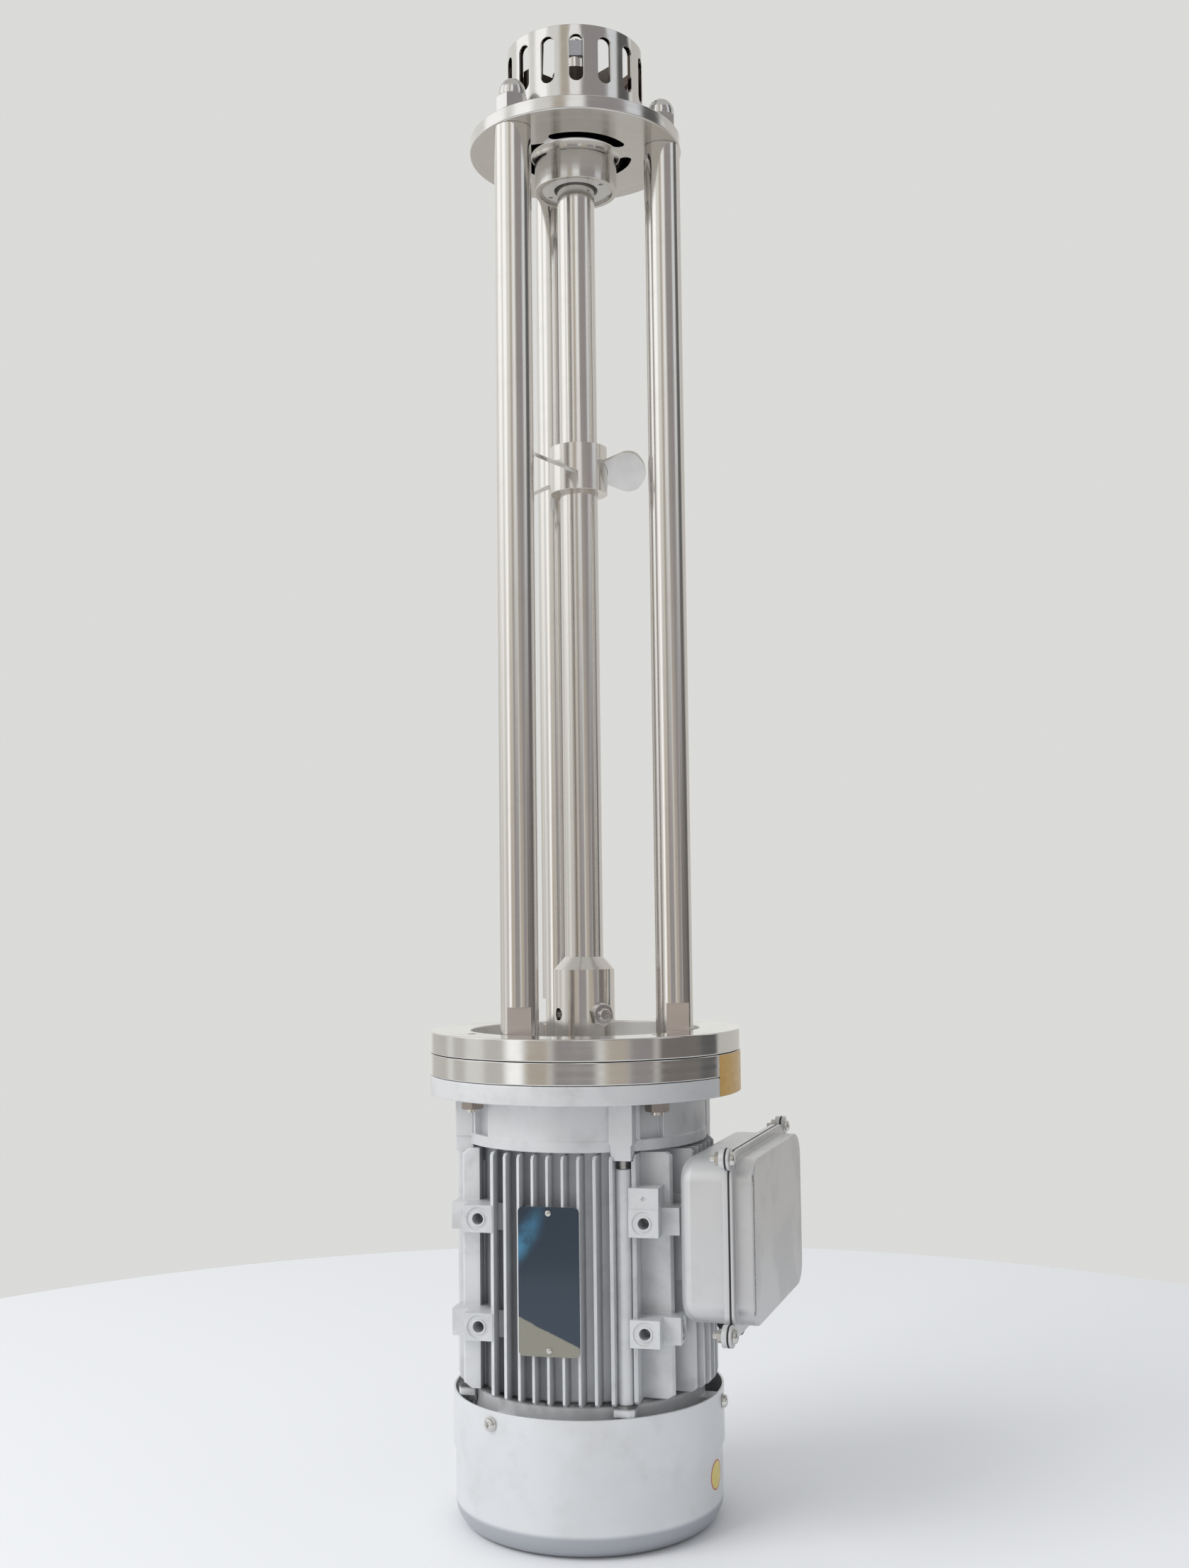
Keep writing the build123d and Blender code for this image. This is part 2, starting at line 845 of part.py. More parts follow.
def raceway(bottom):
    """The path of the balls, as a ring to be cut from both bearing rings."""
    middle = bottom + bearing_width / 2
    return Pos(0, 0, middle) * Torus(pitch_radius, ball_radius + ball_gap)


def bearing_rings(inner, outer):
    """The same ring of both bearings."""
    rings = []
    for bottom in (rear_bearing_bottom, drive_bearing_bottom):
        ring = tube(outer, inner, bottom, bottom + bearing_width)
        rings.append(ring - raceway(bottom))
    return rings


def bearing_balls():
    balls = []
    for bottom in (rear_bearing_bottom, drive_bearing_bottom):
        for number in range(ball_count):
            x, y = polar(pitch_radius, number * 360 / ball_count)
            balls.append(Pos(x, y, bottom + bearing_width / 2) * Sphere(ball_radius))
    return balls


def wave_washer():
    bottom = rear_bearing_bottom - wave_washer_thickness
    return tube(bearing_outer_radius, wave_washer_inner, bottom, rear_bearing_bottom)


# Stator core, windings and rotor core

def stator_core():
    return tube(core_radius, stator_bore_radius, core_bottom, core_bottom + core_length)


def stator_windings():
    """The two end turns, bulged rings against the core's faces."""
    rings = []
    core_top = core_bottom + core_length
    for face, away in ((core_bottom, -1), (core_top, 1)):
        middle = (winding_inner + winding_outer) / 2
        half = (winding_outer - winding_inner) / 2
        straight = winding_overhang - half
        edge = face + away * straight
        arc = ThreePointArc(
            (winding_inner, edge), (middle, face + away * winding_overhang), (winding_outer, edge)
        )
        lines = Polyline((winding_outer, edge), (winding_outer, face), (winding_inner, face), (winding_inner, edge))
        rings.append(turned(make_face([arc, lines])))
    return rings


def rotor_core():
    """The laminated core with its two end rings."""
    low = core_bottom - rotor_bar_ring_length
    high = core_bottom + core_length + rotor_bar_ring_length
    ring_outer = rotor_core_radius - rotor_bar_ring_step
    profile = outline(
        (rotor_shaft_radius, core_bottom),
        (rotor_bar_ring_inner, core_bottom),
        (rotor_bar_ring_inner, low),
        (ring_outer, low),
        (ring_outer, core_bottom),
        (rotor_core_radius, core_bottom),
        (rotor_core_radius, core_bottom + core_length),
        (ring_outer, core_bottom + core_length),
        (ring_outer, high),
        (rotor_bar_ring_inner, high),
        (rotor_bar_ring_inner, core_bottom + core_length),
        (rotor_shaft_radius, core_bottom + core_length),
    )
    return turned(profile)


# Motor shaft, key, fan and clip

def key_block(margin=0.0):
    """The parallel key in the end of the motor shaft."""
    x0 = shaft_end_radius - key_depth
    low = motor_shaft_top - key_length - shaft_chamfer
    key = block(x0, x0 + key_height + margin, -key_width / 2, key_width / 2, low, low + key_length)
    return Rot(0, 0, key_angle) * key


def motor_shaft():
    rear_shoulder = rear_bearing_bottom + bearing_width
    front_shoulder = drive_bearing_bottom
    fan_end = fan_bottom - clip_thickness - clip_groove * 3
    seat_start = rear_bearing_bottom - bearing_hub_floor
    front_seat_end = drive_bearing_bottom + bearing_width
    profile = outline(
        (0, fan_end),
        (fan_seat_radius, fan_end),
        (fan_seat_radius, seat_start),
        (bearing_bore_radius, seat_start),
        (bearing_bore_radius, rear_shoulder),
        (rotor_shaft_radius, rear_shoulder),
        (rotor_shaft_radius, front_shoulder),
        (bearing_bore_radius, front_shoulder),
        (bearing_bore_radius, front_seat_end),
        (shaft_end_radius, front_seat_end),
        (shaft_end_radius, motor_shaft_top - shaft_chamfer),
        (shaft_end_radius - shaft_chamfer, motor_shaft_top),
        (0, motor_shaft_top),
    )
    shaft = turned(profile)
    groove_inner = fan_seat_radius - clip_groove
    shaft -= tube(fan_seat_radius + 1, groove_inner, fan_bottom - clip_thickness, fan_bottom)
    return shaft - key_block()


def cooling_fan():
    hub = tube(fan_hub_radius, fan_seat_radius, fan_bottom, fan_bottom + fan_hub_length)
    plate_low = fan_bottom + fan_hub_length - fan_disc_thickness
    fan = hub + tube(fan_disc_radius, fan_hub_radius - 1, plate_low, fan_bottom + fan_hub_length)
    for number in range(fan_vane_count):
        vane = block(
            fan_hub_radius - 1,
            fan_disc_radius,
            -fan_vane_thickness / 2,
            fan_vane_thickness / 2,
            plate_low - fan_vane_height + fan_disc_thickness,
            plate_low + fan_disc_thickness / 2,
        )
        taper = outline(
            (fan_vane_inner, plate_low - fan_vane_height),
            (fan_disc_radius + 1, plate_low - fan_vane_height),
            (fan_disc_radius + 1, plate_low - fan_vane_height * 0.55),
        )
        vane -= extrude(Plane.XZ * taper, fan_vane_thickness, both=True)
        fan += Rot(0, 0, number * 360 / fan_vane_count) * vane
    return fan


def open_ring(inner, outer, bottom, thickness, opening, angle):
    """A spring ring with a gap."""
    ring = tube(outer, inner, bottom, bottom + thickness)
    half = radians(opening / 2)
    reach = 2 * outer
    wedge = outline((0, 0), (reach * cos(half), -reach * sin(half)), (reach * cos(half), reach * sin(half)))
    gap = Pos(0, 0, bottom) * extrude(wedge, thickness)
    return ring - Rot(0, 0, angle) * gap


def fan_clip():
    inner = fan_seat_radius - clip_groove
    return open_ring(inner, clip_radius, fan_bottom - clip_thickness, clip_thickness, clip_opening, 0)


# Seal plate, mounting ring and their bolts

def ring_edges_broken(body, radius):
    """Breaks the sharp outer edges of a turned plate."""
    edges = [edge for edge in body.edges().filter_by(GeomType.CIRCLE) if abs(edge.radius - radius) < 0.01]
    return chamfer(edges, edge_break)


def seal_plate():
    recess_radius = spigot_radius + loose_gap
    recess_top = flange_top + spigot_height + loose_gap
    seal_top = recess_top - loose_gap + seal_height
    profile = outline(
        (seal_radius, recess_top),
        (recess_radius, recess_top),
        (recess_radius, flange_top),
        (flange_radius, flange_top),
        (flange_radius, seal_plate_top),
        (seal_lip_hole, seal_plate_top),
        (seal_lip_hole, seal_top),
        (seal_radius, seal_top),
    )
    body = ring_edges_broken(turned(profile), flange_radius)
    for angle in bolt_angles:
        hole = rod(bolt_radius + bolt_clearance, seal_plate_thickness)
        body -= at(bolt_circle_radius, angle, flange_top, hole)
    for angle in rod_angles:
        body -= at(rod_circle_radius, angle, seal_plate_top - rod_foot_length, rod(rod_foot_radius, rod_foot_length))
    return body


def shaft_seal():
    """A lip seal: an outer ring with a lip that runs on the shaft."""
    bottom = flange_top + spigot_height
    wall = seal_wall
    profile = outline(
        (shaft_end_radius + running_gap, bottom),
        (seal_radius, bottom),
        (seal_radius, bottom + seal_height),
        (seal_radius - wall, bottom + seal_height),
        (seal_radius - wall, bottom + wall),
        (shaft_end_radius + wall, bottom + wall),
        (shaft_end_radius + wall, bottom + seal_height - wall),
        (shaft_end_radius + running_gap, bottom + seal_height - wall),
    )
    return turned(profile)


def countersink():
    """The bolt's cone and shank clearance, to be cut from the ring, with its mouth at the origin."""
    cone = Pos(0, 0, -bolt_head_height) * extrude_cone(bolt_radius, bolt_head_radius, bolt_head_height)
    return cone + Pos(0, 0, -ring_thickness) * rod(bolt_radius + bolt_clearance, ring_thickness)


def extrude_cone(low_radius, high_radius, height):
    """A cone or taper that stands on its origin."""
    return turned(outline((0, 0), (low_radius, 0), (high_radius, height), (0, height)))


def mounting_ring():
    body = tube(flange_radius, ring_hole_radius, seal_plate_top, ring_top)
    body = ring_edges_broken(body, flange_radius)
    inner = [edge for edge in body.edges().filter_by(GeomType.CIRCLE) if abs(edge.radius - ring_hole_radius) < 0.01]
    body = chamfer(inner, edge_break)
    for angle in bolt_angles:
        body -= at(bolt_circle_radius, angle, ring_top, countersink())
    return body


def flange_bolts():
    """Countersunk socket bolts, flush with the ring."""
    bolts = []
    bottom = flange_bottom - nut_height - bolt_overhang
    for angle in bolt_angles:
        head = Pos(0, 0, ring_top - bolt_head_height) * extrude_cone(bolt_radius, bolt_head_radius, bolt_head_height)
        socket = hexagon(bolt_socket_flats, bolt_socket_depth)
        head -= Pos(0, 0, ring_top - bolt_socket_depth) * socket
        shank = Pos(0, 0, bottom) * rod(bolt_radius, ring_top - bolt_head_height - bottom)
        bolts.append(at(bolt_circle_radius, angle, 0, head + shank))
    return bolts


def bevelled_nut(flats, height, bevel):
    """A hexagon nut with the corners of its lower face turned off."""
    corner = flats / 3**0.5
    barrel = outline((0, 0), (corner - bevel, 0), (corner, bevel * 3**0.5 / 2), (corner, height), (0, height))
    return hexagon(flats, height) & turned(barrel)


def flange_nuts():
    """Hexagon nuts under the flange."""
    nuts = []
    for angle in bolt_angles:
        nut = bevelled_nut(nut_flats, nut_height, nut_bevel) - rod(bolt_radius, nut_height)
        nuts.append(at(bolt_circle_radius, angle, flange_bottom - nut_height, nut))
    return nuts


# Support rods

def support_rod(angle, facing):
    """A polished rod with two wrench flats, a threaded foot and a stud for the cap nut."""
    body = rod(rod_radius, rod_length)
    body = chamfer(body.edges().filter_by(GeomType.CIRCLE), edge_break)
    for side in (0, 180):
        flat = block(
            rod_flats / 2,
            rod_radius + 1,
            -rod_radius,
            rod_radius,
            rod_flat_bottom,
            rod_flat_bottom + rod_flat_height,
        )
        body -= Rot(0, 0, facing + side) * flat
    body += Pos(0, 0, -rod_foot_length) * rod(rod_foot_radius, rod_foot_length)
    body += Pos(0, 0, rod_length) * rod(rod_stud_radius, rod_stud_length)
    x, y = polar(rod_circle_radius, angle)
    return Pos(x, y, seal_plate_top) * body


def rod_washers():
    washers = []
    for angle in rod_angles:
        washer = rod(rod_washer_radius, rod_washer_thickness) - rod(rod_stud_radius, rod_washer_thickness)
        washers.append(at(rod_circle_radius, angle, plate_top, washer))
    return washers


def cap_nuts():
    """Domed nuts on the rods' studs."""
    nuts = []
    shoulder = cap_nut_height - cap_nut_dome_radius
    for angle, facing in zip(rod_angles, rod_flat_facings):
        dome_arc = CenterArc((0, shoulder), cap_nut_dome_radius, 0, 90)
        dome_lines = Polyline((0, cap_nut_height), (0, 0), (cap_nut_dome_radius, 0), (cap_nut_dome_radius, shoulder))
        dome = turned(make_face([dome_arc, dome_lines]))
        nut = dome + hexagon(cap_nut_flats, cap_nut_hex_height)
        stud_reach = rod_stud_length - head_plate_thickness - rod_washer_thickness
        nut -= rod(rod_stud_radius, stud_reach)
        x, y = polar(rod_circle_radius, angle)
        nuts.append(Pos(x, y, plate_top + rod_washer_thickness) * Rot(0, 0, facing) * nut)
    return nuts


# Head plate, bush and stator cage

def head_plate():
    """The plate and the bearing housing under it, one turned piece."""
    flare_foot = plate_bottom - housing_flare_height
    flare_edge = housing_radius + housing_flare
    flare = ThreePointArc(
        (housing_radius, flare_foot),
        (housing_radius + housing_flare * 0.25, plate_bottom - housing_flare_height * 0.32),
        (flare_edge, plate_bottom),
    )
    lines = Polyline(
        (flare_edge, plate_bottom),
        (head_plate_radius, plate_bottom),
        (head_plate_radius, plate_top),
        (bush_lip_hole, plate_top),
        (bush_lip_hole, bush_top),
        (bush_bore_radius, bush_top),
        (bush_bore_radius, housing_bottom),
        (housing_radius, housing_bottom),
        (housing_radius, flare_foot),
    )
    body = turned(make_face([flare, lines]))
    body = ring_edges_broken(body, head_plate_radius)
    groove_top = housing_bottom + cover_recess
    groove_outer = bush_bore_radius + snap_ring_groove
    body -= tube(groove_outer, bush_bore_radius - 1, groove_top - snap_ring_thickness, groove_top)
    for angle in kidney_angles:
        arc = CenterArc((0, 0), kidney_radius, angle - kidney_spread / 2, kidney_spread)
        body -= Pos(0, 0, plate_bottom) * extrude(SlotArc(arc, kidney_width), head_plate_thickness)
    for angle in rod_angles:
        body -= at(rod_circle_radius, angle, plate_bottom, rod(rod_stud_radius, head_plate_thickness))
    return body


def bearing_bush():
    bottom = housing_bottom + cover_recess + cover_thickness
    return tube(bush_bore_radius, mixer_shaft_radius + running_gap, bottom, bush_top)


def bush_cover():
    """The disc under the bush, with two holes for a pin spanner."""
    bottom = housing_bottom + cover_recess
    cover = tube(bush_bore_radius, cover_shaft_hole, bottom, bottom + cover_thickness)
    for angle in (cover_pin_angle, cover_pin_angle + 180):
        cover -= at(cover_pin_circle, angle, bottom, rod(cover_pin_hole_radius, cover_thickness))
    return cover


def snap_ring():
    bottom = housing_bottom + cover_recess - snap_ring_thickness
    outer = bush_bore_radius + snap_ring_groove
    inner = bush_bore_radius - snap_ring_width
    return open_ring(inner, outer, bottom, snap_ring_thickness, snap_ring_opening, snap_ring_turn)


def stator_cage():
    """The slotted ring that the product is driven through."""
    cage = tube(stator_radius, stator_inner_radius, plate_top, stator_top)
    centre = stator_top - stator_slot_rim - stator_slot_height / 2
    slot = extrude(SlotOverall(stator_slot_height, stator_slot_width), 4 * stator_wall)
    for number in range(stator_slot_count):
        angle = stator_slot_phase + number * 360 / stator_slot_count
        cage -= outwards(stator_inner_radius - stator_wall, angle, centre, slot)
    return cage


def rotor_head():
    """The hub and blades that spin close inside the stator cage."""
    tip = stator_inner_radius - rotor_gap
    blades = []
    for number in range(rotor_blade_count):
        blade = Pos(tip / 2, 0) * Rectangle(tip * 1.1, rotor_blade_thickness)
        blades.append(Rot(0, 0, rotor_blade_phase + number * 360 / rotor_blade_count) * blade)
    cross = (Sketch() + blades) & Circle(tip)
    body = Pos(0, 0, rotor_bottom) * extrude(cross, blade_top - rotor_bottom)
    body += disc(rotor_hub_radius, rotor_bottom, rotor_top)
    return body - disc(rotor_bore_radius, rotor_bottom, rotor_top)


def rotor_collar():
    return tube(collar_radius, head_thread_radius, rotor_top, rotor_top + collar_height)


def rotor_nut():
    bottom = rotor_top + collar_height
    nut = Pos(0, 0, bottom) * hexagon(head_nut_flats, head_nut_height)
    return Rot(0, 0, set_screw_angle) * nut - disc(head_thread_radius, bottom, bottom + head_nut_height)


# Mixer shaft and coupling

def mixer_shaft():
    """The long shaft, with the sleeve that takes the motor shaft at its foot."""
    bore = shaft_end_radius + running_gap
    bore_top = motor_shaft_top + sleeve_bore_end_gap
    thread_top = rotor_top + collar_height + head_nut_height + head_thread_end
    profile = outline(
        (bore, sleeve_bottom),
        (sleeve_radius, sleeve_bottom),
        (sleeve_radius, sleeve_top),
        (mixer_shaft_radius, sleeve_top + sleeve_cone),
        (mixer_shaft_radius, rotor_bottom),
        (rotor_bore_radius, rotor_bottom),
        (rotor_bore_radius, rotor_top),
        (head_thread_radius, rotor_top),
        (head_thread_radius, thread_top),
        (0, thread_top),
        (0, bore_top),
        (bore, bore_top),
    )
    shaft = turned(profile)
    height = sleeve_bottom + set_screw_height - sleeve_floor_gap
    for angle in (set_screw_angle, open_hole_angle):
        shaft -= outwards(bore - 1, angle, height, rod(set_screw_radius, sleeve_radius))
    slot_low = sleeve_bottom
    reach = shaft_end_radius - key_depth + key_height + loose_gap
    slot = block(bore - 3, reach, -key_width / 2, key_width / 2, slot_low, bore_top)
    return shaft - Rot(0, 0, key_angle) * slot


def coupling_set_screw():
    height = sleeve_bottom + set_screw_height - sleeve_floor_gap
    start = shaft_end_radius + running_gap
    length = sleeve_radius + lock_nut_height + set_screw_stick_out - start
    screw = rod(set_screw_radius, length)
    socket = hexagon(set_screw_socket_flats, set_screw_socket_depth)
    screw -= Pos(0, 0, length - set_screw_socket_depth) * socket
    return outwards(start, set_screw_angle, height, screw)


def coupling_lock_nut():
    """The nut's inner face is hollowed to the sleeve's round side."""
    height = sleeve_bottom + set_screw_height - sleeve_floor_gap
    start = sleeve_radius - lock_nut_hollow
    nut = hexagon(lock_nut_flats, lock_nut_height + lock_nut_hollow)
    nut -= rod(set_screw_radius, lock_nut_height + lock_nut_hollow)
    nut = outwards(start, set_screw_angle, height, nut)
    return nut - disc(sleeve_radius, height - lock_nut_flats, height + lock_nut_flats)


# Propeller

def propeller_hub():
    bore = mixer_shaft_radius + running_gap
    hub = tube(propeller_hub_radius, bore, propeller_bottom, propeller_bottom + propeller_hub_length)
    middle = propeller_bottom + propeller_hub_length / 2
    return hub - outwards(bore - 1, propeller_screw_angle, middle, rod(propeller_screw_radius, propeller_hub_radius))


def propeller_blade():
    """One blade in its own plane: X outwards, Y along the chord."""
    root = blade_root_chord / 2
    wide = blade_wide_chord / 2
    tip = ThreePointArc((blade_wide_place, -wide), (propeller_tip_radius, 0), (blade_wide_place, wide))
    sides = Polyline(
        (blade_wide_place, wide),
        (blade_root_place, root),
        (blade_root_place, -root),
        (blade_wide_place, -wide),
    )
    face = Sketch() + make_face([tip, sides])
    corners = [point for point in face.vertices() if abs(abs(point.Y) - wide) < 0.01]
    face = fillet(corners, blade_corner)
    return extrude(face, propeller_blade_thickness / 2, both=True)


def propeller_blades():
    """Three blades, their roots hollowed to the hub."""
    middle = propeller_bottom + propeller_hub_length / 2
    hub = disc(propeller_hub_radius, propeller_bottom - blade_wide_chord, propeller_bottom + 2 * blade_wide_chord)
    blades = []
    for angle in propeller_blade_angles:
        blade = Pos(0, 0, middle) * Rot(0, 0, angle) * Rot(-propeller_pitch, 0, 0) * propeller_blade()
        blades.append(blade - hub)
    return blades


def propeller_set_screw():
    middle = propeller_bottom + propeller_hub_length / 2
    start = mixer_shaft_radius + running_gap
    length = propeller_hub_radius - start - edge_break
    screw = rod(propeller_screw_radius, length)
    socket = hexagon(propeller_screw_radius, length / 2)
    screw -= Pos(0, 0, length / 2) * socket
    return outwards(start, propeller_screw_angle, middle, screw)


# Terminal box, drawn square to +X about its own centre

def slab(x0, depth, half_width, half_height, corner):
    """A rounded plate or block that stands out along +X."""
    sketch = Plane.YZ * RectangleRounded(2 * half_width, 2 * half_height, corner)
    return Pos(x0, 0, 0) * extrude(sketch, depth)


def ears(x0, thickness):
    """The rounded corners that carry the box's screws."""
    return [Pos(x0, 0, 0) * place * Rot(0, 90, 0) * rod(ear_radius, thickness) for place in ear_places()]


def ear_places():
    return [Pos(0, y, z) for y in (-ear_across, ear_across) for z in (-ear_up, ear_up)]


def mount_screw_places():
    places = []
    for y in (-mount_screw_across, mount_screw_across):
        for z in (mount_screw_low, mount_screw_high):
            places.append(Pos(0, y, z))
    return places


def box_flange(x0, thickness):
    """The flat rim of the box with its four ears, open in the middle."""
    half_width = box_half_width + flange_margin
    half_height = box_half_height + flange_margin
    rim = slab(x0, thickness, half_width, half_height, box_corner)
    for ear in ears(x0, thickness):
        rim += ear
    inner_corner = box_corner - box_wall
    rim -= slab(x0, thickness, box_half_width - box_wall, box_half_height - box_wall, inner_corner)
    for place in ear_places():
        rim -= Pos(x0, 0, 0) * place * Rot(0, 90, 0) * rod(box_screw_radius, thickness)
    return rim


def gland_axis():
    """The gland's place under the box, in the box's own directions."""
    return Pos(box_seat + gland_depth, gland_place, 0)


def terminal_box_base():
    """The deep-drawn base, with its holes for leads, screws and gland."""
    body = slab(box_seat, box_depth, box_half_width, box_half_height, box_corner)
    body = fillet(body.faces().sort_by(Axis.X)[0].edges(), box_base_rounding)
    inner_corner = box_corner - box_wall
    cavity = slab(
        box_seat + box_wall,
        box_depth,
        box_half_width - box_wall,
        box_half_height - box_wall,
        inner_corner,
    )
    cavity = fillet(cavity.faces().sort_by(Axis.X)[0].edges(), box_base_rounding - box_wall)
    body -= cavity
    body += gland_axis() * Pos(0, 0, box_wall - box_half_height) * rod(gland_boss_radius, gland_boss_height)
    body += box_flange(box_seat + box_depth - rim_thickness, rim_thickness)
    body -= Pos(box_seat, 0, 0) * Rot(0, 90, 0) * rod(lead_hole_radius, box_wall)
    for place in mount_screw_places():
        body -= Pos(box_seat, 0, 0) * place * Rot(0, 90, 0) * rod(mount_screw_radius, box_wall)
    hole_length = box_wall + gland_boss_height
    body -= gland_axis() * Pos(0, 0, -box_half_height) * rod(gland_thread_radius, hole_length)
    return box_place(body)


def box_gasket():
    return box_place(box_flange(box_seat + box_depth, gasket_thickness))


def lid_shape(x0, inset):
    """The block of the lid, drawn in by a wall, with its corners notched round the screws."""
    half_width = box_half_width - inset
    half_height = box_half_height - inset
    shape = slab(x0, lid_height - inset, half_width, half_height, box_corner - inset)
    for place in ear_places():
        shape -= Pos(x0, 0, 0) * place * Rot(0, 90, 0) * rod(lid_notch_radius + inset, lid_height)
    return fillet(shape.faces().sort_by(Axis.X)[-1].edges(), lid_edge_rounding)


def terminal_box_lid():
    """The lid, a notched dome on a thin rim."""
    x0 = box_seat + box_depth + gasket_thickness
    body = box_flange(x0, lid_rim_thickness) + lid_shape(x0, 0)
    return box_place(body - lid_shape(x0, box_wall))


def box_screws():
    """Pan head screws through the ears."""
    x_under_head = box_seat + box_depth + gasket_thickness + lid_rim_thickness
    grip = rim_thickness + gasket_thickness + lid_rim_thickness + box_nut_height + box_screw_tail
    screws = []
    for place in ear_places():
        head = rod(box_screw_head_radius, box_screw_head_height)
        head = fillet(head.faces().sort_by(Axis.Z)[-1].edges(), box_screw_head_height * 0.7)
        screw = head + Pos(0, 0, -grip) * rod(box_screw_radius, grip)
        screws.append(box_place(Pos(x_under_head, 0, 0) * place * Rot(0, 90, 0) * screw))
    return screws


def box_nuts():
    nuts = []
    for place in ear_places():
        nut = hexagon(box_nut_flats, box_nut_height) - rod(box_screw_radius, box_nut_height)
        x0 = box_seat + box_depth - rim_thickness - box_nut_height
        nuts.append(box_place(Pos(x0, 0, 0) * place * Rot(0, 90, 0) * nut))
    return nuts


def box_mount_screws():
    """Screws that hold the base to the frame's pad."""
    screws = []
    for place in mount_screw_places():
        length = mount_screw_depth + box_wall
        screw = rod(mount_screw_radius, length) + Pos(0, 0, length) * rod(mount_head_radius, mount_head_height)
        screws.append(box_place(Pos(box_seat - mount_screw_depth, 0, 0) * place * Rot(0, 90, 0) * screw))
    return screws


def terminal_board():
    """A moulded board with a row of terminal posts."""
    floor = box_seat + box_wall
    high = board_place + board_height / 2
    low = board_place - board_height / 2
    board = block(floor, floor + board_thickness, -board_width / 2, board_width / 2, low, high)
    for number in range(post_count):
        y = (number - (post_count - 1) / 2) * board_width / post_count
        post = Rot(0, 90, 0) * rod(post_radius, post_height)
        board += Pos(floor + board_thickness, y, board_place) * post
    return box_place(board)


def capacitor(radius, length, place):
    """A can that lies across the box, on two moulded feet."""
    floor = box_seat + box_wall
    foot_height = mount_head_height + loose_gap
    can = Rot(-90, 0, 0) * rod(radius, length)
    can = Pos(floor + foot_height + radius, -length / 2, place) * can
    for y in (-length / 2, length / 2 - length / 10):
        can += block(floor, floor + foot_height + radius, y, y + length / 10, place - radius / 2, place + radius / 2)
    return box_place(can)


def gland_solid(height_low, shape):
    """Places an upright piece of the gland, measured down from the box's underside."""
    return box_place(gland_axis() * Pos(0, 0, -box_half_height + height_low) * shape)


def cable_gland():
    """The gland's hexagon, its clamping dome and the thread through the wall."""
    dome_arc_low = -gland_hex_height - gland_dome_length
    profile = outline(
        (0, dome_arc_low),
        (gland_dome_radius * 0.7, dome_arc_low),
        (gland_dome_radius, dome_arc_low + gland_dome_length * 0.45),
        (gland_dome_radius, -gland_hex_height),
        (gland_thread_radius, -gland_hex_height),
        (gland_thread_radius, gland_thread_length),
        (0, gland_thread_length),
    )
    body = turned(profile) + Pos(0, 0, -gland_hex_height) * hexagon(gland_flats, gland_hex_height)
    total = gland_hex_height + gland_dome_length + gland_thread_length
    body -= Pos(0, 0, dome_arc_low) * rod(gland_bore_radius, total)
    return gland_solid(0, body)


def gland_lock_nut():
    nut = hexagon(gland_nut_flats, gland_nut_height) - rod(gland_thread_radius, gland_nut_height)
    return gland_solid(box_wall + gland_boss_height, nut)


pieces = {
    "fan_cowl": fan_cowl(),
    "cowl_screws": cowl_screws(),
    "motor_frame": motor_frame(),
    "drive_end_flange": drive_end_flange(),
    "rear_end_shield": rear_end_shield(),
    "tie_bolts": tie_bolts(),
    "nameplate": nameplate(),
    "nameplate_rivets": nameplate_rivets(),
    "bearing_outer_rings": bearing_rings(outer_race_radius, bearing_outer_radius),
    "bearing_inner_rings": bearing_rings(bearing_bore_radius, inner_race_radius),
    "bearing_balls": bearing_balls(),
    "wave_washer": wave_washer(),
    "stator_core": stator_core(),
    "stator_windings": stator_windings(),
    "rotor_core": rotor_core(),
    "motor_shaft": motor_shaft(),
    "shaft_key": key_block(),
    "cooling_fan": cooling_fan(),
    "fan_clip": fan_clip(),
    "seal_plate": seal_plate(),
    "shaft_seal": shaft_seal(),
    "mounting_ring": mounting_ring(),
    "flange_bolts": flange_bolts(),
    "flange_nuts": flange_nuts(),
    "rod_washers": rod_washers(),
    "cap_nuts": cap_nuts(),
    "head_plate": head_plate(),
    "bearing_bush": bearing_bush(),
    "bush_cover": bush_cover(),
    "snap_ring": snap_ring(),
    "stator_cage": stator_cage(),
    "rotor_head": rotor_head(),
    "rotor_collar": rotor_collar(),
    "rotor_nut": rotor_nut(),
    "mixer_shaft": mixer_shaft(),
    "coupling_set_screw": coupling_set_screw(),
    "coupling_lock_nut": coupling_lock_nut(),
    "propeller_hub": propeller_hub(),
    "propeller_blades": propeller_blades(),
    "propeller_set_screw": propeller_set_screw(),
    "terminal_box_base": terminal_box_base(),
    "box_gasket": box_gasket(),
    "terminal_box_lid": terminal_box_lid(),
    "box_screws": box_screws(),
    "box_nuts": box_nuts(),
    "box_mount_screws": box_mount_screws(),
    "terminal_board": terminal_board(),
    "start_capacitor": capacitor(start_capacitor_radius, start_capacitor_length, start_capacitor_place),
    "run_capacitor": capacitor(run_capacitor_radius, run_capacitor_length, run_capacitor_place),
    "cable_gland": cable_gland(),
    "gland_lock_nut": gland_lock_nut(),
}
for name, angle, facing in zip(rod_names, rod_angles, rod_flat_facings):
    pieces["support_rod_" + name] = support_rod(angle, facing)

for name, shape in pieces.items():
    if isinstance(shape, list):
        solids = [solid for piece in shape for solid in piece.solids()]
    else:
        solids = shape.solids()
    export_step(Compound(children=solids) if len(solids) > 1 else solids[0], f"parts/{name}.step")
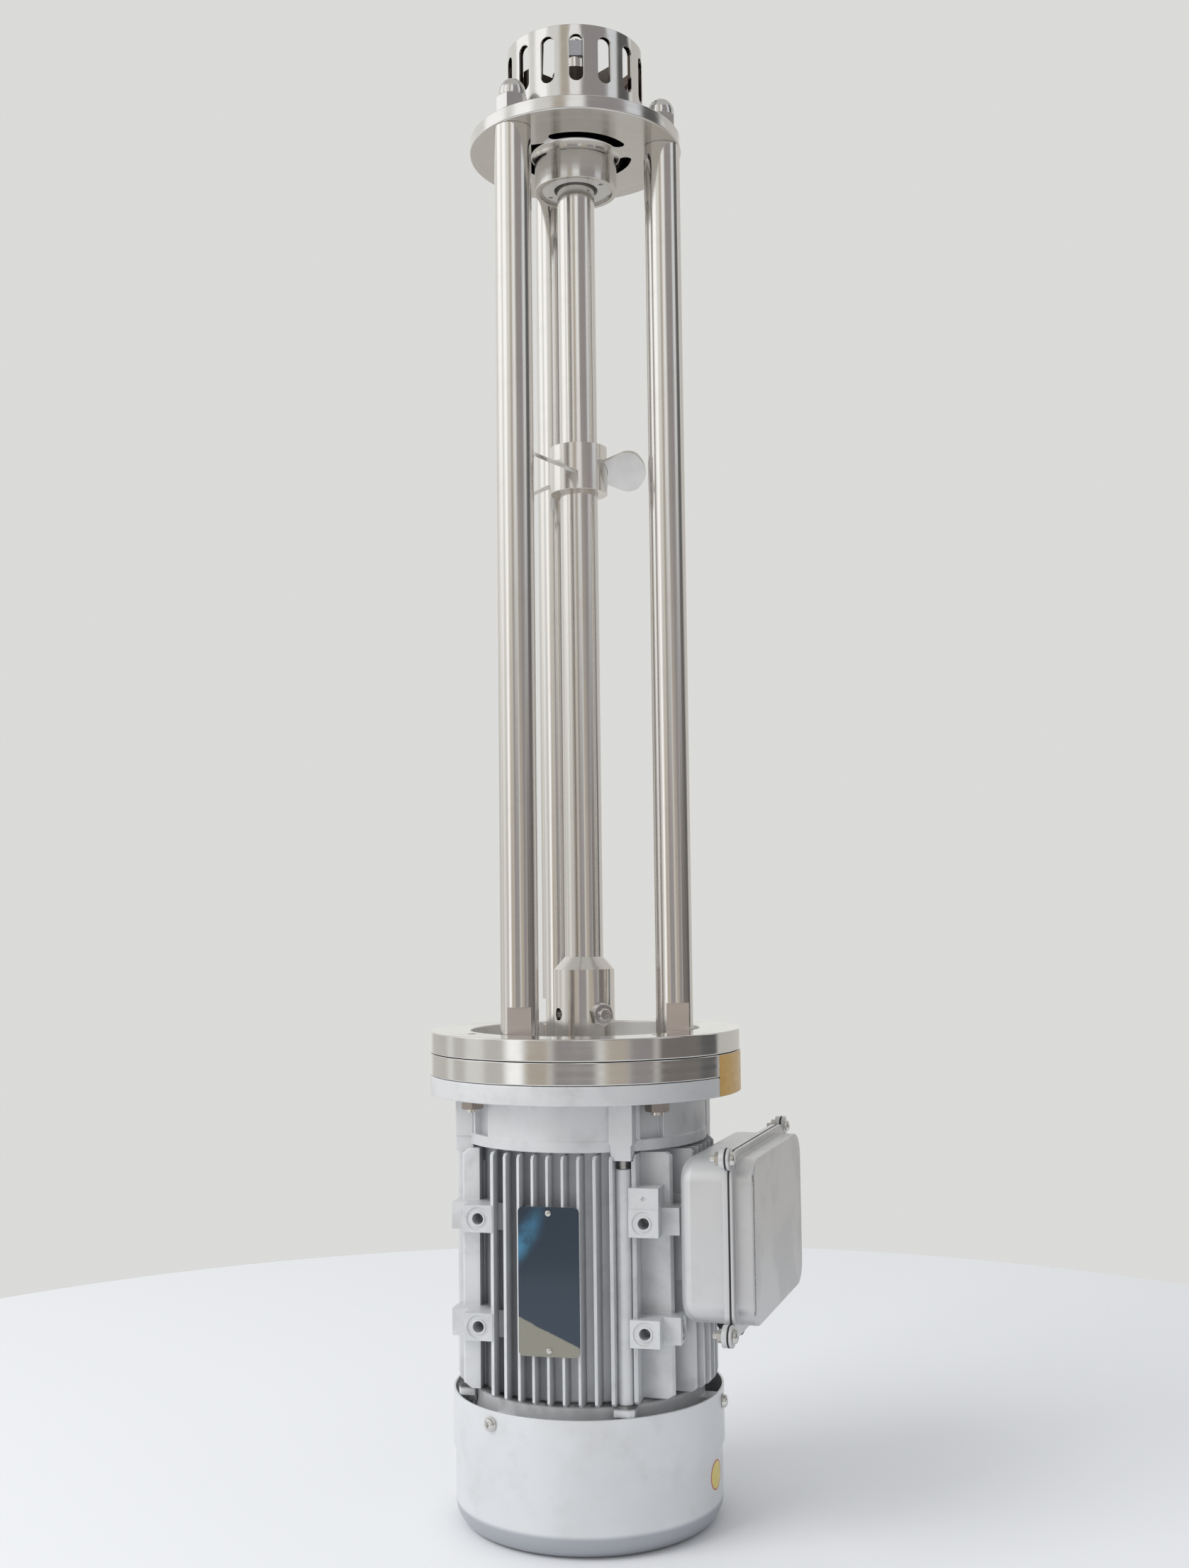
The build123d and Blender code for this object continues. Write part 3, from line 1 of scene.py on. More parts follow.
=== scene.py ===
# %% [markdown]
# A high shear mixer, dressed for its picture
# This lesson dresses a batch high shear mixer that stands on its motor's fan cowl, with the mixing head
# on top. The CAD frame already holds every piece at its real size and place. The cells below give the
# pieces what a drawing office leaves out: rounded edges that catch the light, turned, polished, cast and
# painted surfaces, and the small things such as recessed screws, chamfered nuts and stickers.

# %% Load the frame
import math

import bpy
from mathutils import Matrix, Quaternion, Vector
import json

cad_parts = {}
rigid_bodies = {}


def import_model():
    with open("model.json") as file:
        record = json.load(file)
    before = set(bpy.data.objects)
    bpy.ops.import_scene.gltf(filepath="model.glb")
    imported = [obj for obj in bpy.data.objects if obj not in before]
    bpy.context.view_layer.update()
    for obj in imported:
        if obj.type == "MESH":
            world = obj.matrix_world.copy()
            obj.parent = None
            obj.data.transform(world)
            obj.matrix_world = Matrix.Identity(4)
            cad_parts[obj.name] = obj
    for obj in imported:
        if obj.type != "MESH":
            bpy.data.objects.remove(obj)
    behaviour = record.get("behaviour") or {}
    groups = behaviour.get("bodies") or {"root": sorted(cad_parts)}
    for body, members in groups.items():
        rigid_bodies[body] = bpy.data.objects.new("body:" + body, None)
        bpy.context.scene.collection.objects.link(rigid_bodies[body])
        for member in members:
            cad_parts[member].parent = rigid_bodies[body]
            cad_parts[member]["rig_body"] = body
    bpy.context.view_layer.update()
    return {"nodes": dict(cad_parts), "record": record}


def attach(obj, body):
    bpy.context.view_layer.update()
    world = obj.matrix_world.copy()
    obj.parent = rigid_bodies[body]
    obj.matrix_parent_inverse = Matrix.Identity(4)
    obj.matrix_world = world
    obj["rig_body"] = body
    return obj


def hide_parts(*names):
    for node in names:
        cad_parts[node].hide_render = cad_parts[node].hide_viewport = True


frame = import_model()
nodes = frame["nodes"]
scene = bpy.context.scene

# %% [markdown]
# The camera comes first, because every later choice is judged through it. Its place was found by fitting
# the round edges of the motor flange, the head plate and the rods to their known sizes. A camera could
# also be moved by hand until the view looks right, but then sizes could not be read from it. So here it
# is only three facts: where it stands, where it looks, and how far it is tipped on its side.

# %% The camera
camera_place = Vector((0.2571, -1.0707, 0.3812))
camera_direction = Vector((-0.2258, 0.9713, 0.0749))
camera_roll = math.radians(-0.666)
camera_lens = 38.67
camera_near = 0.01

camera = bpy.data.objects.new("camera", bpy.data.cameras.new("camera"))
scene.collection.objects.link(camera)
camera.location = camera_place
camera.rotation_mode = "QUATERNION"
camera.rotation_quaternion = camera_direction.to_track_quat("-Z", "Y") @ Quaternion((0, 0, 1), camera_roll)
camera.data.lens = camera_lens
camera.data.sensor_fit = "AUTO"
camera.data.clip_start = camera_near
scene.camera = camera
print("camera stands", round(camera_place.length, 3), "m from the origin")

# %% [markdown]
# Polished steel has hardly a colour of its own: what the eye reads as steel is the room in it. A picture
# of a real room could be wrapped round the scene, but it would bring in a file and fixed colours. So the
# world below is a plain pale room that is described in words and degrees: windows, a door, a curtain, and
# corners in shade, each with soft edges. The head looks up into the room and the ring looks down into it,
# so there are two rows of things, and the world turns from one into the other with height. Only
# reflections see the room. The camera sees a plain pale wall, and painted surfaces get an even soft light
# that is stronger from the left.

# %% Small helpers for node trees
def add_node(tree, kind, **settings):
    """Add a node and set its plain properties."""
    node = tree.nodes.new(kind)
    for name, value in settings.items():
        setattr(node, name, value)
    return node


def feed(tree, socket, value):
    """Set an input to a number or colour, or link it to an output."""
    if isinstance(value, bpy.types.NodeSocket):
        tree.links.new(value, socket)
    else:
        socket.default_value = value


def calculate(tree, operation, first, second=0.0, clamp=False):
    """One step of arithmetic."""
    node = add_node(tree, "ShaderNodeMath", operation=operation, use_clamp=clamp)
    feed(tree, node.inputs[0], first)
    feed(tree, node.inputs[1], second)
    return node.outputs[0]


def between(tree, value, low, high, to_low=0.0, to_high=1.0, way="SMOOTHSTEP"):
    """Stretch a value from one range to another, with soft ends unless another way is given."""
    node = add_node(tree, "ShaderNodeMapRange", interpolation_type=way)
    feed(tree, node.inputs["Value"], value)
    for name, number in (("From Min", low), ("From Max", high), ("To Min", to_low), ("To Max", to_high)):
        feed(tree, node.inputs[name], number)
    return node.outputs["Result"]


def blend_colors(tree, mask, first, second):
    """The first colour where the mask is 0, and the second where it is 1."""
    node = add_node(tree, "ShaderNodeMix", data_type="RGBA")
    feed(tree, node.inputs["Factor"], mask)
    feed(tree, node.inputs["A"], first)
    feed(tree, node.inputs["B"], second)
    return node.outputs["Result"]


def split(tree, place):
    """The X, Y and Z of a place, by name."""
    node = add_node(tree, "ShaderNodeSeparateXYZ")
    feed(tree, node.inputs[0], place)
    return node.outputs


helpers = (add_node, feed, calculate, between, blend_colors, split)
print("node helpers:", ", ".join(helper.__name__ for helper in helpers))

# %% What stands in the room
daylight = (1.2, 1.2, 1.2)
bright_wall = (0.95, 0.95, 0.95)
pale_wall = (0.8, 0.8, 0.77)
plain_wall = (0.6, 0.58, 0.55)
wooden_door = (0.5, 0.45, 0.38)
shade = (0.32, 0.3, 0.3)
grey_curtain = (0.75, 0.77, 0.8)
dim_corner = (0.2, 0.18, 0.17)
dark_corner = (0.12, 0.12, 0.12)
# From and to in degrees seen from above: 0 is the camera, and the viewer's right is positive.
# The upper row is at the height of the head, and the lower row at the height of the ring.
upper_room = (
    (-110, -85, daylight),
    (-65, -50, daylight),
    (-20, -10, wooden_door),
    (-5, 5, bright_wall),
    (15, 55, shade),
    (60, 70, grey_curtain),
    (80, 100, dark_corner),
    (115, 150, plain_wall),
)
lower_room = (
    (-150, -125, plain_wall),
    (-108, -102, plain_wall),
    (-75, -65, plain_wall),
    (-55, -50, daylight),
    (-40, -30, wooden_door),
    (-20, -10, shade),
    (-5, 4, shade),
    (18, 28, wooden_door),
    (35, 48, shade),
    (58, 90, dim_corner),
    (95, 110, dark_corner),
    (118, 160, plain_wall),
)
edge_softness = 8


def room_row(tree, degrees, things):
    """Pale wall all round, with soft-edged things standing in front of it."""
    row = (*pale_wall, 1)
    for first, last, color in things:
        begins = between(tree, degrees, first - edge_softness, first)
        ends = between(tree, degrees, last, last + edge_softness, 1.0, 0.0)
        row = blend_colors(tree, calculate(tree, "MULTIPLY", begins, ends), row, (*color, 1))
    return row


print("the room has", len(upper_room), "things above and", len(lower_room), "below")

# %% The world that holds the room
room_turn = math.atan2(camera_place.x, -camera_place.y)
# Ranges of the upward part of a view direction, from straight down at -1 to straight up at 1.
between_rows = (-0.02, 0.36)
into_ceiling = (0.62, 0.86)
into_floor = (-0.32, -0.14)
into_top_light = (-0.2, 0.9)
left_to_right = (-0.9, 0.9)
ceiling_color = (0.52, 0.51, 0.49, 1)
floor_light = (0.52, 0.50, 0.46, 1)
left_light = (1.22, 1.22, 1.22, 1)
right_light = (0.24, 0.25, 0.27, 1)
top_light = (0.70, 0.71, 0.72, 1)
wall_color = (0.705, 0.705, 0.69, 1)


def reflected_room(tree, parts):
    """What shiny surfaces see: the two rows, with the ceiling above them and the floor below."""
    toward = calculate(tree, "MULTIPLY", parts["Y"], -1.0)
    degrees = calculate(tree, "DEGREES", calculate(tree, "ARCTAN2", parts["X"], toward))
    rows = [room_row(tree, degrees, things) for things in (lower_room, upper_room)]
    room = blend_colors(tree, between(tree, parts["Z"], *between_rows), *rows)
    room = blend_colors(tree, between(tree, parts["Z"], *into_ceiling), room, ceiling_color)
    return blend_colors(tree, between(tree, parts["Z"], *into_floor, 1.0, 0.0), room, floor_light)


def even_light(tree, parts):
    """What painted surfaces see: soft light that fades from left to right, and evens out upwards."""
    leftward = between(tree, parts["X"], *left_to_right, 1.0, 0.0)
    light = blend_colors(tree, leftward, right_light, left_light)
    return blend_colors(tree, between(tree, parts["Z"], *into_top_light), light, top_light)


def make_room():
    """The world: the room for reflections, an even light for the rest, and a plain wall for the camera."""
    world = bpy.data.worlds.new("room")
    scene.world = world
    world.use_nodes = True
    tree = world.node_tree
    tree.nodes.clear()
    coordinates = add_node(tree, "ShaderNodeTexCoord")
    turn = add_node(tree, "ShaderNodeVectorRotate", rotation_type="Z_AXIS")
    feed(tree, turn.inputs["Vector"], coordinates.outputs["Generated"])
    feed(tree, turn.inputs["Angle"], -room_turn)
    parts = split(tree, turn.outputs[0])
    path = add_node(tree, "ShaderNodeLightPath")
    lights = (even_light(tree, parts), reflected_room(tree, parts))
    seen = blend_colors(tree, path.outputs["Is Glossy Ray"], *lights)
    seen = blend_colors(tree, path.outputs["Is Camera Ray"], seen, wall_color)
    background = add_node(tree, "ShaderNodeBackground")
    feed(tree, background.inputs["Color"], seen)
    output = add_node(tree, "ShaderNodeOutputWorld")
    feed(tree, output.inputs["Surface"], background.outputs[0])
    return tree


room_tree = make_room()
scene.view_settings.view_transform = "Standard"
print("world made of", len(room_tree.nodes), "nodes")

# %% [markdown]
# The floor is a white sheet that runs back towards the wall. It could be a square, whose corners would
# show from other sides, so it is a circle. A big soft light from the upper left gives the faint shade
# side, and casts no hard shadow. A small lamp could stand there instead, but its shadow would have a
# sharp edge.

# %% The floor and the soft light
floor_reach = 0.86
floor_sides = 256
floor_color = (0.86, 0.87, 0.89, 1)
floor_roughness = 0.8
key_place = Vector((-1.5, -1.5, 2.1))
key_target = Vector((0, 0, 0.4))
key_size = 1.6
key_power = 38.0


def make_floor():
    """A pale round floor."""
    bpy.ops.object.select_all(action="DESELECT")
    bpy.ops.mesh.primitive_circle_add(vertices=floor_sides, radius=floor_reach, fill_type="NGON")
    floor = bpy.context.object
    floor.name = "floor"
    material = bpy.data.materials.new("floor_sheet")
    material.use_nodes = True
    shader = material.node_tree.nodes["Principled BSDF"]
    shader.inputs["Base Color"].default_value = floor_color
    shader.inputs["Roughness"].default_value = floor_roughness
    floor.data.materials.append(material)


def make_key_light():
    """One large soft light that neither the camera nor a mirror sees."""
    light = bpy.data.objects.new("key_light", bpy.data.lights.new("key_light", "AREA"))
    scene.collection.objects.link(light)
    light.location = key_place
    light.rotation_mode = "QUATERNION"
    light.rotation_quaternion = (key_target - key_place).to_track_quat("-Z", "Y")
    light.data.size = key_size
    light.data.energy = key_power
    light.visible_camera = False
    light.visible_glossy = False


make_floor()
make_key_light()
print("floor reaches", floor_reach, "m from the mixer, and the light is", key_size, "m wide")

# %% [markdown]
# Real surfaces are never even: a turned face has rings, a drawn bar long waves, a casting sand, and all
# of them some dust. Pictures of such surfaces could be laid on the pieces, but they would blur close by
# and repeat. So the patterns are made by noise, in node groups that several finishes share. Each group
# has its own named inputs, and puts out only a height for bumps and a mask for colour and roughness. The
# shader itself stays in the material, so that a finish is read in one place.

# %% Helpers for patterns
def start_group(name, inputs, outputs):
    """An empty node group with number inputs besides its place, and number outputs."""
    tree = bpy.data.node_groups.new(name, "ShaderNodeTree")
    tree.interface.new_socket("Place", in_out="INPUT", socket_type="NodeSocketVector")
    for socket_name, value in inputs:
        socket = tree.interface.new_socket(socket_name, in_out="INPUT", socket_type="NodeSocketFloat")
        socket.default_value = value
    for socket_name in outputs:
        tree.interface.new_socket(socket_name, in_out="OUTPUT", socket_type="NodeSocketFloat")
    entry = tree.nodes.new("NodeGroupInput")
    leave = tree.nodes.new("NodeGroupOutput")
    return tree, entry.outputs, leave.inputs


def noise(tree, place, scale, detail=2.0, roughness=0.5, distortion=0.0):
    """A noise pattern between 0 and 1; its scale says about how many features fit in a metre."""
    node = add_node(tree, "ShaderNodeTexNoise")
    feed(tree, node.inputs["Vector"], place)
    feed(tree, node.inputs["Scale"], scale)
    feed(tree, node.inputs["Detail"], detail)
    feed(tree, node.inputs["Roughness"], roughness)
    feed(tree, node.inputs["Distortion"], distortion)
    return node.outputs["Fac"]


def stretched(tree, place, x, y, z):
    """The place with each direction multiplied."""
    node = add_node(tree, "ShaderNodeVectorMath", operation="MULTIPLY")
    feed(tree, node.inputs[0], place)
    feed(tree, node.inputs[1], (x, y, z))
    return node.outputs[0]


def combine(tree, x, y, z):
    """A place made of its three parts."""
    node = add_node(tree, "ShaderNodeCombineXYZ")
    for socket, value in zip(node.inputs, (x, y, z)):
        feed(tree, socket, value)
    return node.outputs[0]


def radius_of(tree, place):
    """How far a place is from the upright axis."""
    parts = split(tree, place)
    squares = [calculate(tree, "MULTIPLY", parts[name], parts[name]) for name in "XY"]
    return calculate(tree, "SQRT", calculate(tree, "ADD", *squares))


helpers = (start_group, noise, stretched, combine, radius_of)
print("pattern helpers:", ", ".join(helper.__name__ for helper in helpers))

# %% Patterns of metal: lathe marks and polishing waves
def make_lathe_marks():
    """Rings left by a turning tool: they depend on radius and height, and hardly on the direction."""
    tree, given, out = start_group("lathe_marks", [("Fineness", 2500.0)], ["Height", "Mask"])
    wander = 0.004
    coarseness = 0.12
    patch_scale = 38.0
    parts = split(tree, given["Place"])
    rings = combine(tree, radius_of(tree, given["Place"]), parts["Z"],
                    calculate(tree, "MULTIPLY", parts["X"], wander))
    feed(tree, out["Height"], noise(tree, rings, given["Fineness"], detail=3.0, roughness=0.6))
    coarse = calculate(tree, "MULTIPLY", given["Fineness"], coarseness)
    patches = noise(tree, given["Place"], patch_scale, detail=3.0)
    feed(tree, out["Mask"], calculate(tree, "MULTIPLY", noise(tree, rings, coarse, detail=4.0), patches))
    return tree


def make_polish_waves():
    """A drawn bar keeps long shallow waves along its length, and fine belt scratches round it."""
    tree, given, out = start_group("polish_waves", [("Length", 9.0)], ["Waves", "Scratches"])
    waves_across = 140.0
    scratches_across = 60.0
    scratches_along = 5200.0
    parts = split(tree, given["Place"])
    level = [calculate(tree, "MULTIPLY", parts[name], waves_across) for name in "XY"]
    along = calculate(tree, "MULTIPLY", parts["Z"], given["Length"])
    feed(tree, out["Waves"], noise(tree, combine(tree, *level, along), 1.0, roughness=0.45))
    fine = stretched(tree, given["Place"], scratches_across, scratches_across, scratches_along)
    feed(tree, out["Scratches"], noise(tree, fine, 1.0, detail=3.0, roughness=0.65))
    return tree


lathe_marks = make_lathe_marks()
polish_waves = make_polish_waves()
print("patterns:", lathe_marks.name, "and", polish_waves.name)

# %% Patterns of paint and dirt: cast grain, paint skin and soiling
def make_cast_grain():
    """The sandy skin of a die casting under thin paint: fine grains on soft lumps."""
    tree, given, out = start_group("cast_grain", [("Grain", 900.0)], ["Height", "Mask"])
    coarseness = 0.16
    grain_share = 0.6
    stain_scale = 42.0
    fine = noise(tree, given["Place"], given["Grain"], detail=4.0, roughness=0.7)
    lumps = noise(tree, given["Place"], calculate(tree, "MULTIPLY", given["Grain"], coarseness))
    feed(tree, out["Height"], calculate(tree, "ADD", calculate(tree, "MULTIPLY", fine, grain_share), lumps))
    stains = noise(tree, given["Place"], stain_scale, detail=5.0, roughness=0.62, distortion=0.4)
    feed(tree, out["Mask"], between(tree, stains, 0.42, 0.72))
    return tree


def make_paint_skin():
    """Sprayed paint: a low pebble skin, and clouds where the film is thinner."""
    tree, given, out = start_group("paint_skin", [("Pebbles", 420.0)], ["Height", "Mask"])
    cloud_scale = 17.0
    feed(tree, out["Height"], noise(tree, given["Place"], given["Pebbles"], roughness=0.4))
    clouds = noise(tree, given["Place"], cloud_scale, detail=4.0, roughness=0.55, distortion=0.3)
    feed(tree, out["Mask"], between(tree, clouds, 0.35, 0.7))
    return tree


def make_soiling():
    """Specks and smears of workshop dust, sparse and uneven."""
    tree, given, out = start_group("soiling", [("Amount", 0.3)], ["Mask"])
    speck_scale = 1400.0
    patch_scale = 55.0
    smear_share = 0.35
    specks = between(tree, noise(tree, given["Place"], speck_scale), 0.66, 0.76)
    patches = between(tree, noise(tree, given["Place"], patch_scale, detail=4.0, roughness=0.6), 0.5, 0.75)
    mixed = calculate(tree, "MULTIPLY", specks, patches)
    smears = calculate(tree, "MULTIPLY", patches, smear_share)
    total = calculate(tree, "MULTIPLY", calculate(tree, "ADD", mixed, smears), given["Amount"], clamp=True)
    feed(tree, out["Mask"], total)
    return tree


cast_grain = make_cast_grain()
paint_skin = make_paint_skin()
soiling = make_soiling()
print("all patterns:", ", ".join(sorted(group.name for group in bpy.data.node_groups)))

# %% [markdown]
# A finish is what a piece's maker did last to its surface. Every finish here could be a chain of nodes of
# its own, but then the same steps would be written out a dozen times. So a finish is one Principled
# shader with its plain numbers on its own sockets, and patterns only where the real surface varies.
# `Finish` keeps the few calls that all of them need: where a pattern is read, how a mask becomes a
# roughness or a colour, and how heights become one bump.

# %% A finish and its parts
MM = 0.001


class Finish:
    """A material that is being made, with helpers for its patterns."""

    def __init__(self, name, color, metallic, roughness, centre=(0, 0, 0), **plain):
        """Start with plain numbers on the shader, and with places that are counted from a centre."""
        self.material = bpy.data.materials.new(name)
        self.material.use_nodes = True
        self.tree = self.material.node_tree
        self.shader = self.tree.nodes["Principled BSDF"]
        self.color = (*color, 1)
        self.normal = None
        self.set("Base Color", self.color)
        self.set("Metallic", metallic)
        self.set("Roughness", roughness)
        for socket, value in plain.items():
            self.set(socket.replace("_", " "), value)
        coordinates = add_node(self.tree, "ShaderNodeTexCoord")
        mapping = add_node(self.tree, "ShaderNodeMapping")
        feed(self.tree, mapping.inputs["Vector"], coordinates.outputs["Object"])
        mapping.inputs["Location"].default_value = [-value for value in centre]
        self.place = mapping.outputs["Vector"]

    def set(self, socket, value):
        """Set one of the shader's inputs to a value, or link it to an output."""
        feed(self.tree, self.shader.inputs[socket], value)

    def part(self, name):
        """The X, Y or Z of the place."""
        return split(self.tree, self.place)[name]

    def radius(self):
        """How far the place is from the upright axis through the centre."""
        return radius_of(self.tree, self.place)

    def pattern(self, group, **values):
        """Place a shared pattern here, with this finish's own values."""
        node = add_node(self.tree, "ShaderNodeGroup", node_tree=group)
        feed(self.tree, node.inputs["Place"], self.place)
        for name, value in values.items():
            feed(self.tree, node.inputs[name], value)
        return node.outputs

    def vary(self, socket, mask, low, high, mask_low=0.3, mask_high=0.7):
        """Let a number follow a mask."""
        self.set(socket, between(self.tree, mask, mask_low, mask_high, low, high))

    def tint(self, mask, color):
        """Move the base colour towards another where the mask is high."""
        first = self.shader.inputs["Base Color"]
        source = first.links[0].from_socket if first.links else self.color
        self.set("Base Color", blend_colors(self.tree, mask, source, (*color, 1)))

    def scale_color(self, mask, share):
        """Multiply the base colour by a share where the mask is high."""
        self.tint(mask, tuple(share * value for value in self.color[:3]))

    def bump(self, height, depth, strength=1.0):
        """Raise the surface by a height pattern; depth is in millimetres."""
        node = add_node(self.tree, "ShaderNodeBump")
        feed(self.tree, node.inputs["Height"], height)
        node.inputs["Distance"].default_value = depth * MM
        node.inputs["Strength"].default_value = strength
        if self.normal is not None:
            self.tree.links.new(self.normal, node.inputs["Normal"])
        self.normal = node.outputs["Normal"]
        self.set("Normal", self.normal)


print("a finish reads its patterns in metres, and its bumps in units of", MM, "m")

# %% [markdown]
# The bars of the upper half are drawn and polished stainless: nearly a mirror, with long soft waves that
# make the reflections wander a little. Bumping the mesh itself would need far too many faces for waves so
# shallow, so they are bumps in the shader. The milled flats at the rods' feet lie at one distance from
# the rod's axis, so they are found by their place and need no mesh of their own.

# %% Polished bars
bar_color = (0.78, 0.76, 0.735)
milled_color = (0.76, 0.69, 0.65)
milled_roughness = 0.36
flat_distance = 0.00945
flat_top = 0.3222
bar_dust = (0.42, 0.38, 0.33)


def milled_flats(finish, facing):
    """A mask of the flats at a rod's foot that face one way in degrees, or away from it."""
    tree = finish.tree
    turn = math.radians(facing)
    along = calculate(tree, "MULTIPLY", finish.part("X"), math.cos(turn))
    across = calculate(tree, "MULTIPLY", finish.part("Y"), math.sin(turn))
    distance = calculate(tree, "ABSOLUTE", calculate(tree, "ADD", along, across))
    far = calculate(tree, "GREATER_THAN", distance, flat_distance)
    return calculate(tree, "MULTIPLY", far, calculate(tree, "LESS_THAN", finish.part("Z"), flat_top))


def polished_bar(name, centre=(0, 0, 0), facing=None):
    """Drawn and polished round stainless, with milled flats at one facing where it has them."""
    finish = Finish(name, bar_color, metallic=1.0, roughness=0.12, centre=centre)
    marks = finish.pattern(polish_waves)
    roughness = between(finish.tree, marks["Scratches"], 0.3, 0.7, 0.10, 0.2)
    finish.bump(marks["Waves"], depth=0.10, strength=0.6)
    finish.bump(marks["Scratches"], depth=0.004, strength=0.5)
    dust = finish.pattern(soiling, Amount=0.22)
    finish.tint(dust["Mask"], bar_dust)
    if facing is not None:
        flats = milled_flats(finish, facing)
        finish.tint(flats, milled_color)
        dull = calculate(finish.tree, "MULTIPLY", flats, milled_roughness)
        roughness = calculate(finish.tree, "MAXIMUM", roughness, dull)
    finish.set("Roughness", roughness)
    return finish.material


bar_steel = polished_bar("polished_bar")
print("finish:", bar_steel.name)

# %% [markdown]
# The plates, the ring and the cage are turned stainless: their tool marks run round them, so reflections
# smear along the axis and stay sharp round it. A fine bump alone would need rings finer than the picture
# can hold, which is what anisotropy is for: it stretches the reflection in one direction. Some faces of a
# piece had another tool, such as the ring's bore, grime lies in the ring's joints, and the inner wall of
# the cage and the head plate's inlets get a near-black painted shade. Each is found by a rule in radius and
# height.

# %% Rules for the faces that differ
cage_wall = (0.0445, 0.0455)
joint_heights = (0.278, 0.292)
grime_reach = (0.0002, 0.0004)
ring_edge = (0.0985, 0.099)
bore_wall = (0.0741, 0.0747)
plate_underside = (0.8877, 0.8879)
cage_foot = (0.046, 0.047)


def shaded_inside_cage(finish):
    """The inner wall of the cage and the sides of its slots, which get a near-black painted shade."""
    return between(finish.tree, finish.radius(), *cage_wall, 1.0, 0.0)


def ring_joints(finish):
    """The grime in the two joints under the mounting ring and the seal plate."""
    tree = finish.tree
    off = [calculate(tree, "ABSOLUTE", calculate(tree, "SUBTRACT", finish.part("Z"), joint))
           for joint in joint_heights]
    line = between(tree, calculate(tree, "MINIMUM", *off), *grime_reach, 1.0, 0.0)
    return calculate(tree, "MULTIPLY", line, between(tree, finish.radius(), *ring_edge))


def ring_bore(finish):
    """Less of a mirror on the bored walls inside the ring, which are rough."""
    return between(finish.tree, finish.radius(), *bore_wall, 0.3, 1.0)


def shaded_inlets(finish):
    """The walls of the curved inlets through the head plate, and its upper face inside the cage, which get
    a near-black painted shade.
    """
    through = between(finish.tree, finish.part("Z"), *plate_underside)
    within = between(finish.tree, finish.radius(), *cage_foot, 1.0, 0.0)
    return calculate(finish.tree, "MULTIPLY", through, within)


print("joints at", joint_heights, "m")

# %% Turned stainless
steel_color = (0.73, 0.72, 0.705)
grime_and_shade_color = (0.075, 0.055, 0.045)
turned_dust = (0.46, 0.43, 0.39)


def turned_steel(name, fineness=2500.0, roughness=(0.10, 0.19), color=steel_color, dark=None, matt=None):
    """Stainless with the rings of a turning tool, with grime or painted shade where a dark rule says so,
    and matt where a matt rule says so.
    """
    finish = Finish(name, color, metallic=1.0, roughness=0.22, Anisotropic=0.6, Anisotropic_Rotation=0.25)
    tangent = add_node(finish.tree, "ShaderNodeTangent", direction_type="RADIAL", axis="Z")
    finish.set("Tangent", tangent.outputs[0])
    marks = finish.pattern(lathe_marks, Fineness=fineness)
    finish.vary("Roughness", marks["Mask"], *roughness, 0.12, 0.4)
    finish.bump(marks["Height"], depth=0.005, strength=0.6)
    dust = finish.pattern(soiling, Amount=0.25)
    finish.tint(dust["Mask"], turned_dust)
    # A dark rule paints grime into the ring's joints, and near-black painted shade inside the cage and in
    # the head plate's inlets.
    if dark is not None:
        finish.tint(dark(finish), grime_and_shade_color)
    if matt is not None:
        finish.set("Metallic", matt(finish))
    return finish.material


ring_steel = turned_steel("turned_ring", dark=ring_joints, matt=ring_bore)
cage_steel = turned_steel("turned_cage", fineness=3200.0, dark=shaded_inside_cage)
head_steel = turned_steel("turned_head", fineness=2800.0, roughness=(0.13, 0.24), dark=shaded_inlets)
blade_steel = turned_steel("brushed_blade", 1800.0, roughness=(0.28, 0.40), color=(0.80, 0.79, 0.77))
# The rotor head inside the cage is painted near black: painted shade.
rotor_shade_steel = turned_steel("unlit_rotor", 2000.0, roughness=(0.3, 0.45), color=(0.10, 0.085, 0.075))
turned = (ring_steel, cage_steel, head_steel, blade_steel, rotor_shade_steel)
print("finishes:", ", ".join(material.name for material in turned))

# %% [markdown]
# The motor's castings keep their sandy skin under a thin coat of silver paint. Silver paint is fine metal
# flake in lacquer, so it is part metal. The valleys between the fins get a painted shade with some dirt,
# heavier on the left, and grease lies on the rear shield behind the cowl's rim. It could be painted on by
# hand, but a rule in radius and height puts it in every valley at once.

# %% Painted castings
casting_color = (0.69, 0.70, 0.715)
valley_shade_and_dirt = (0.30, 0.31, 0.33)
valley_shade_sides = (-0.06, 0.045)
grease_color = (0.09, 0.09, 0.09)
streaks_each_way = (60, 60, 25)
casting_dust = (0.25, 0.24, 0.23)


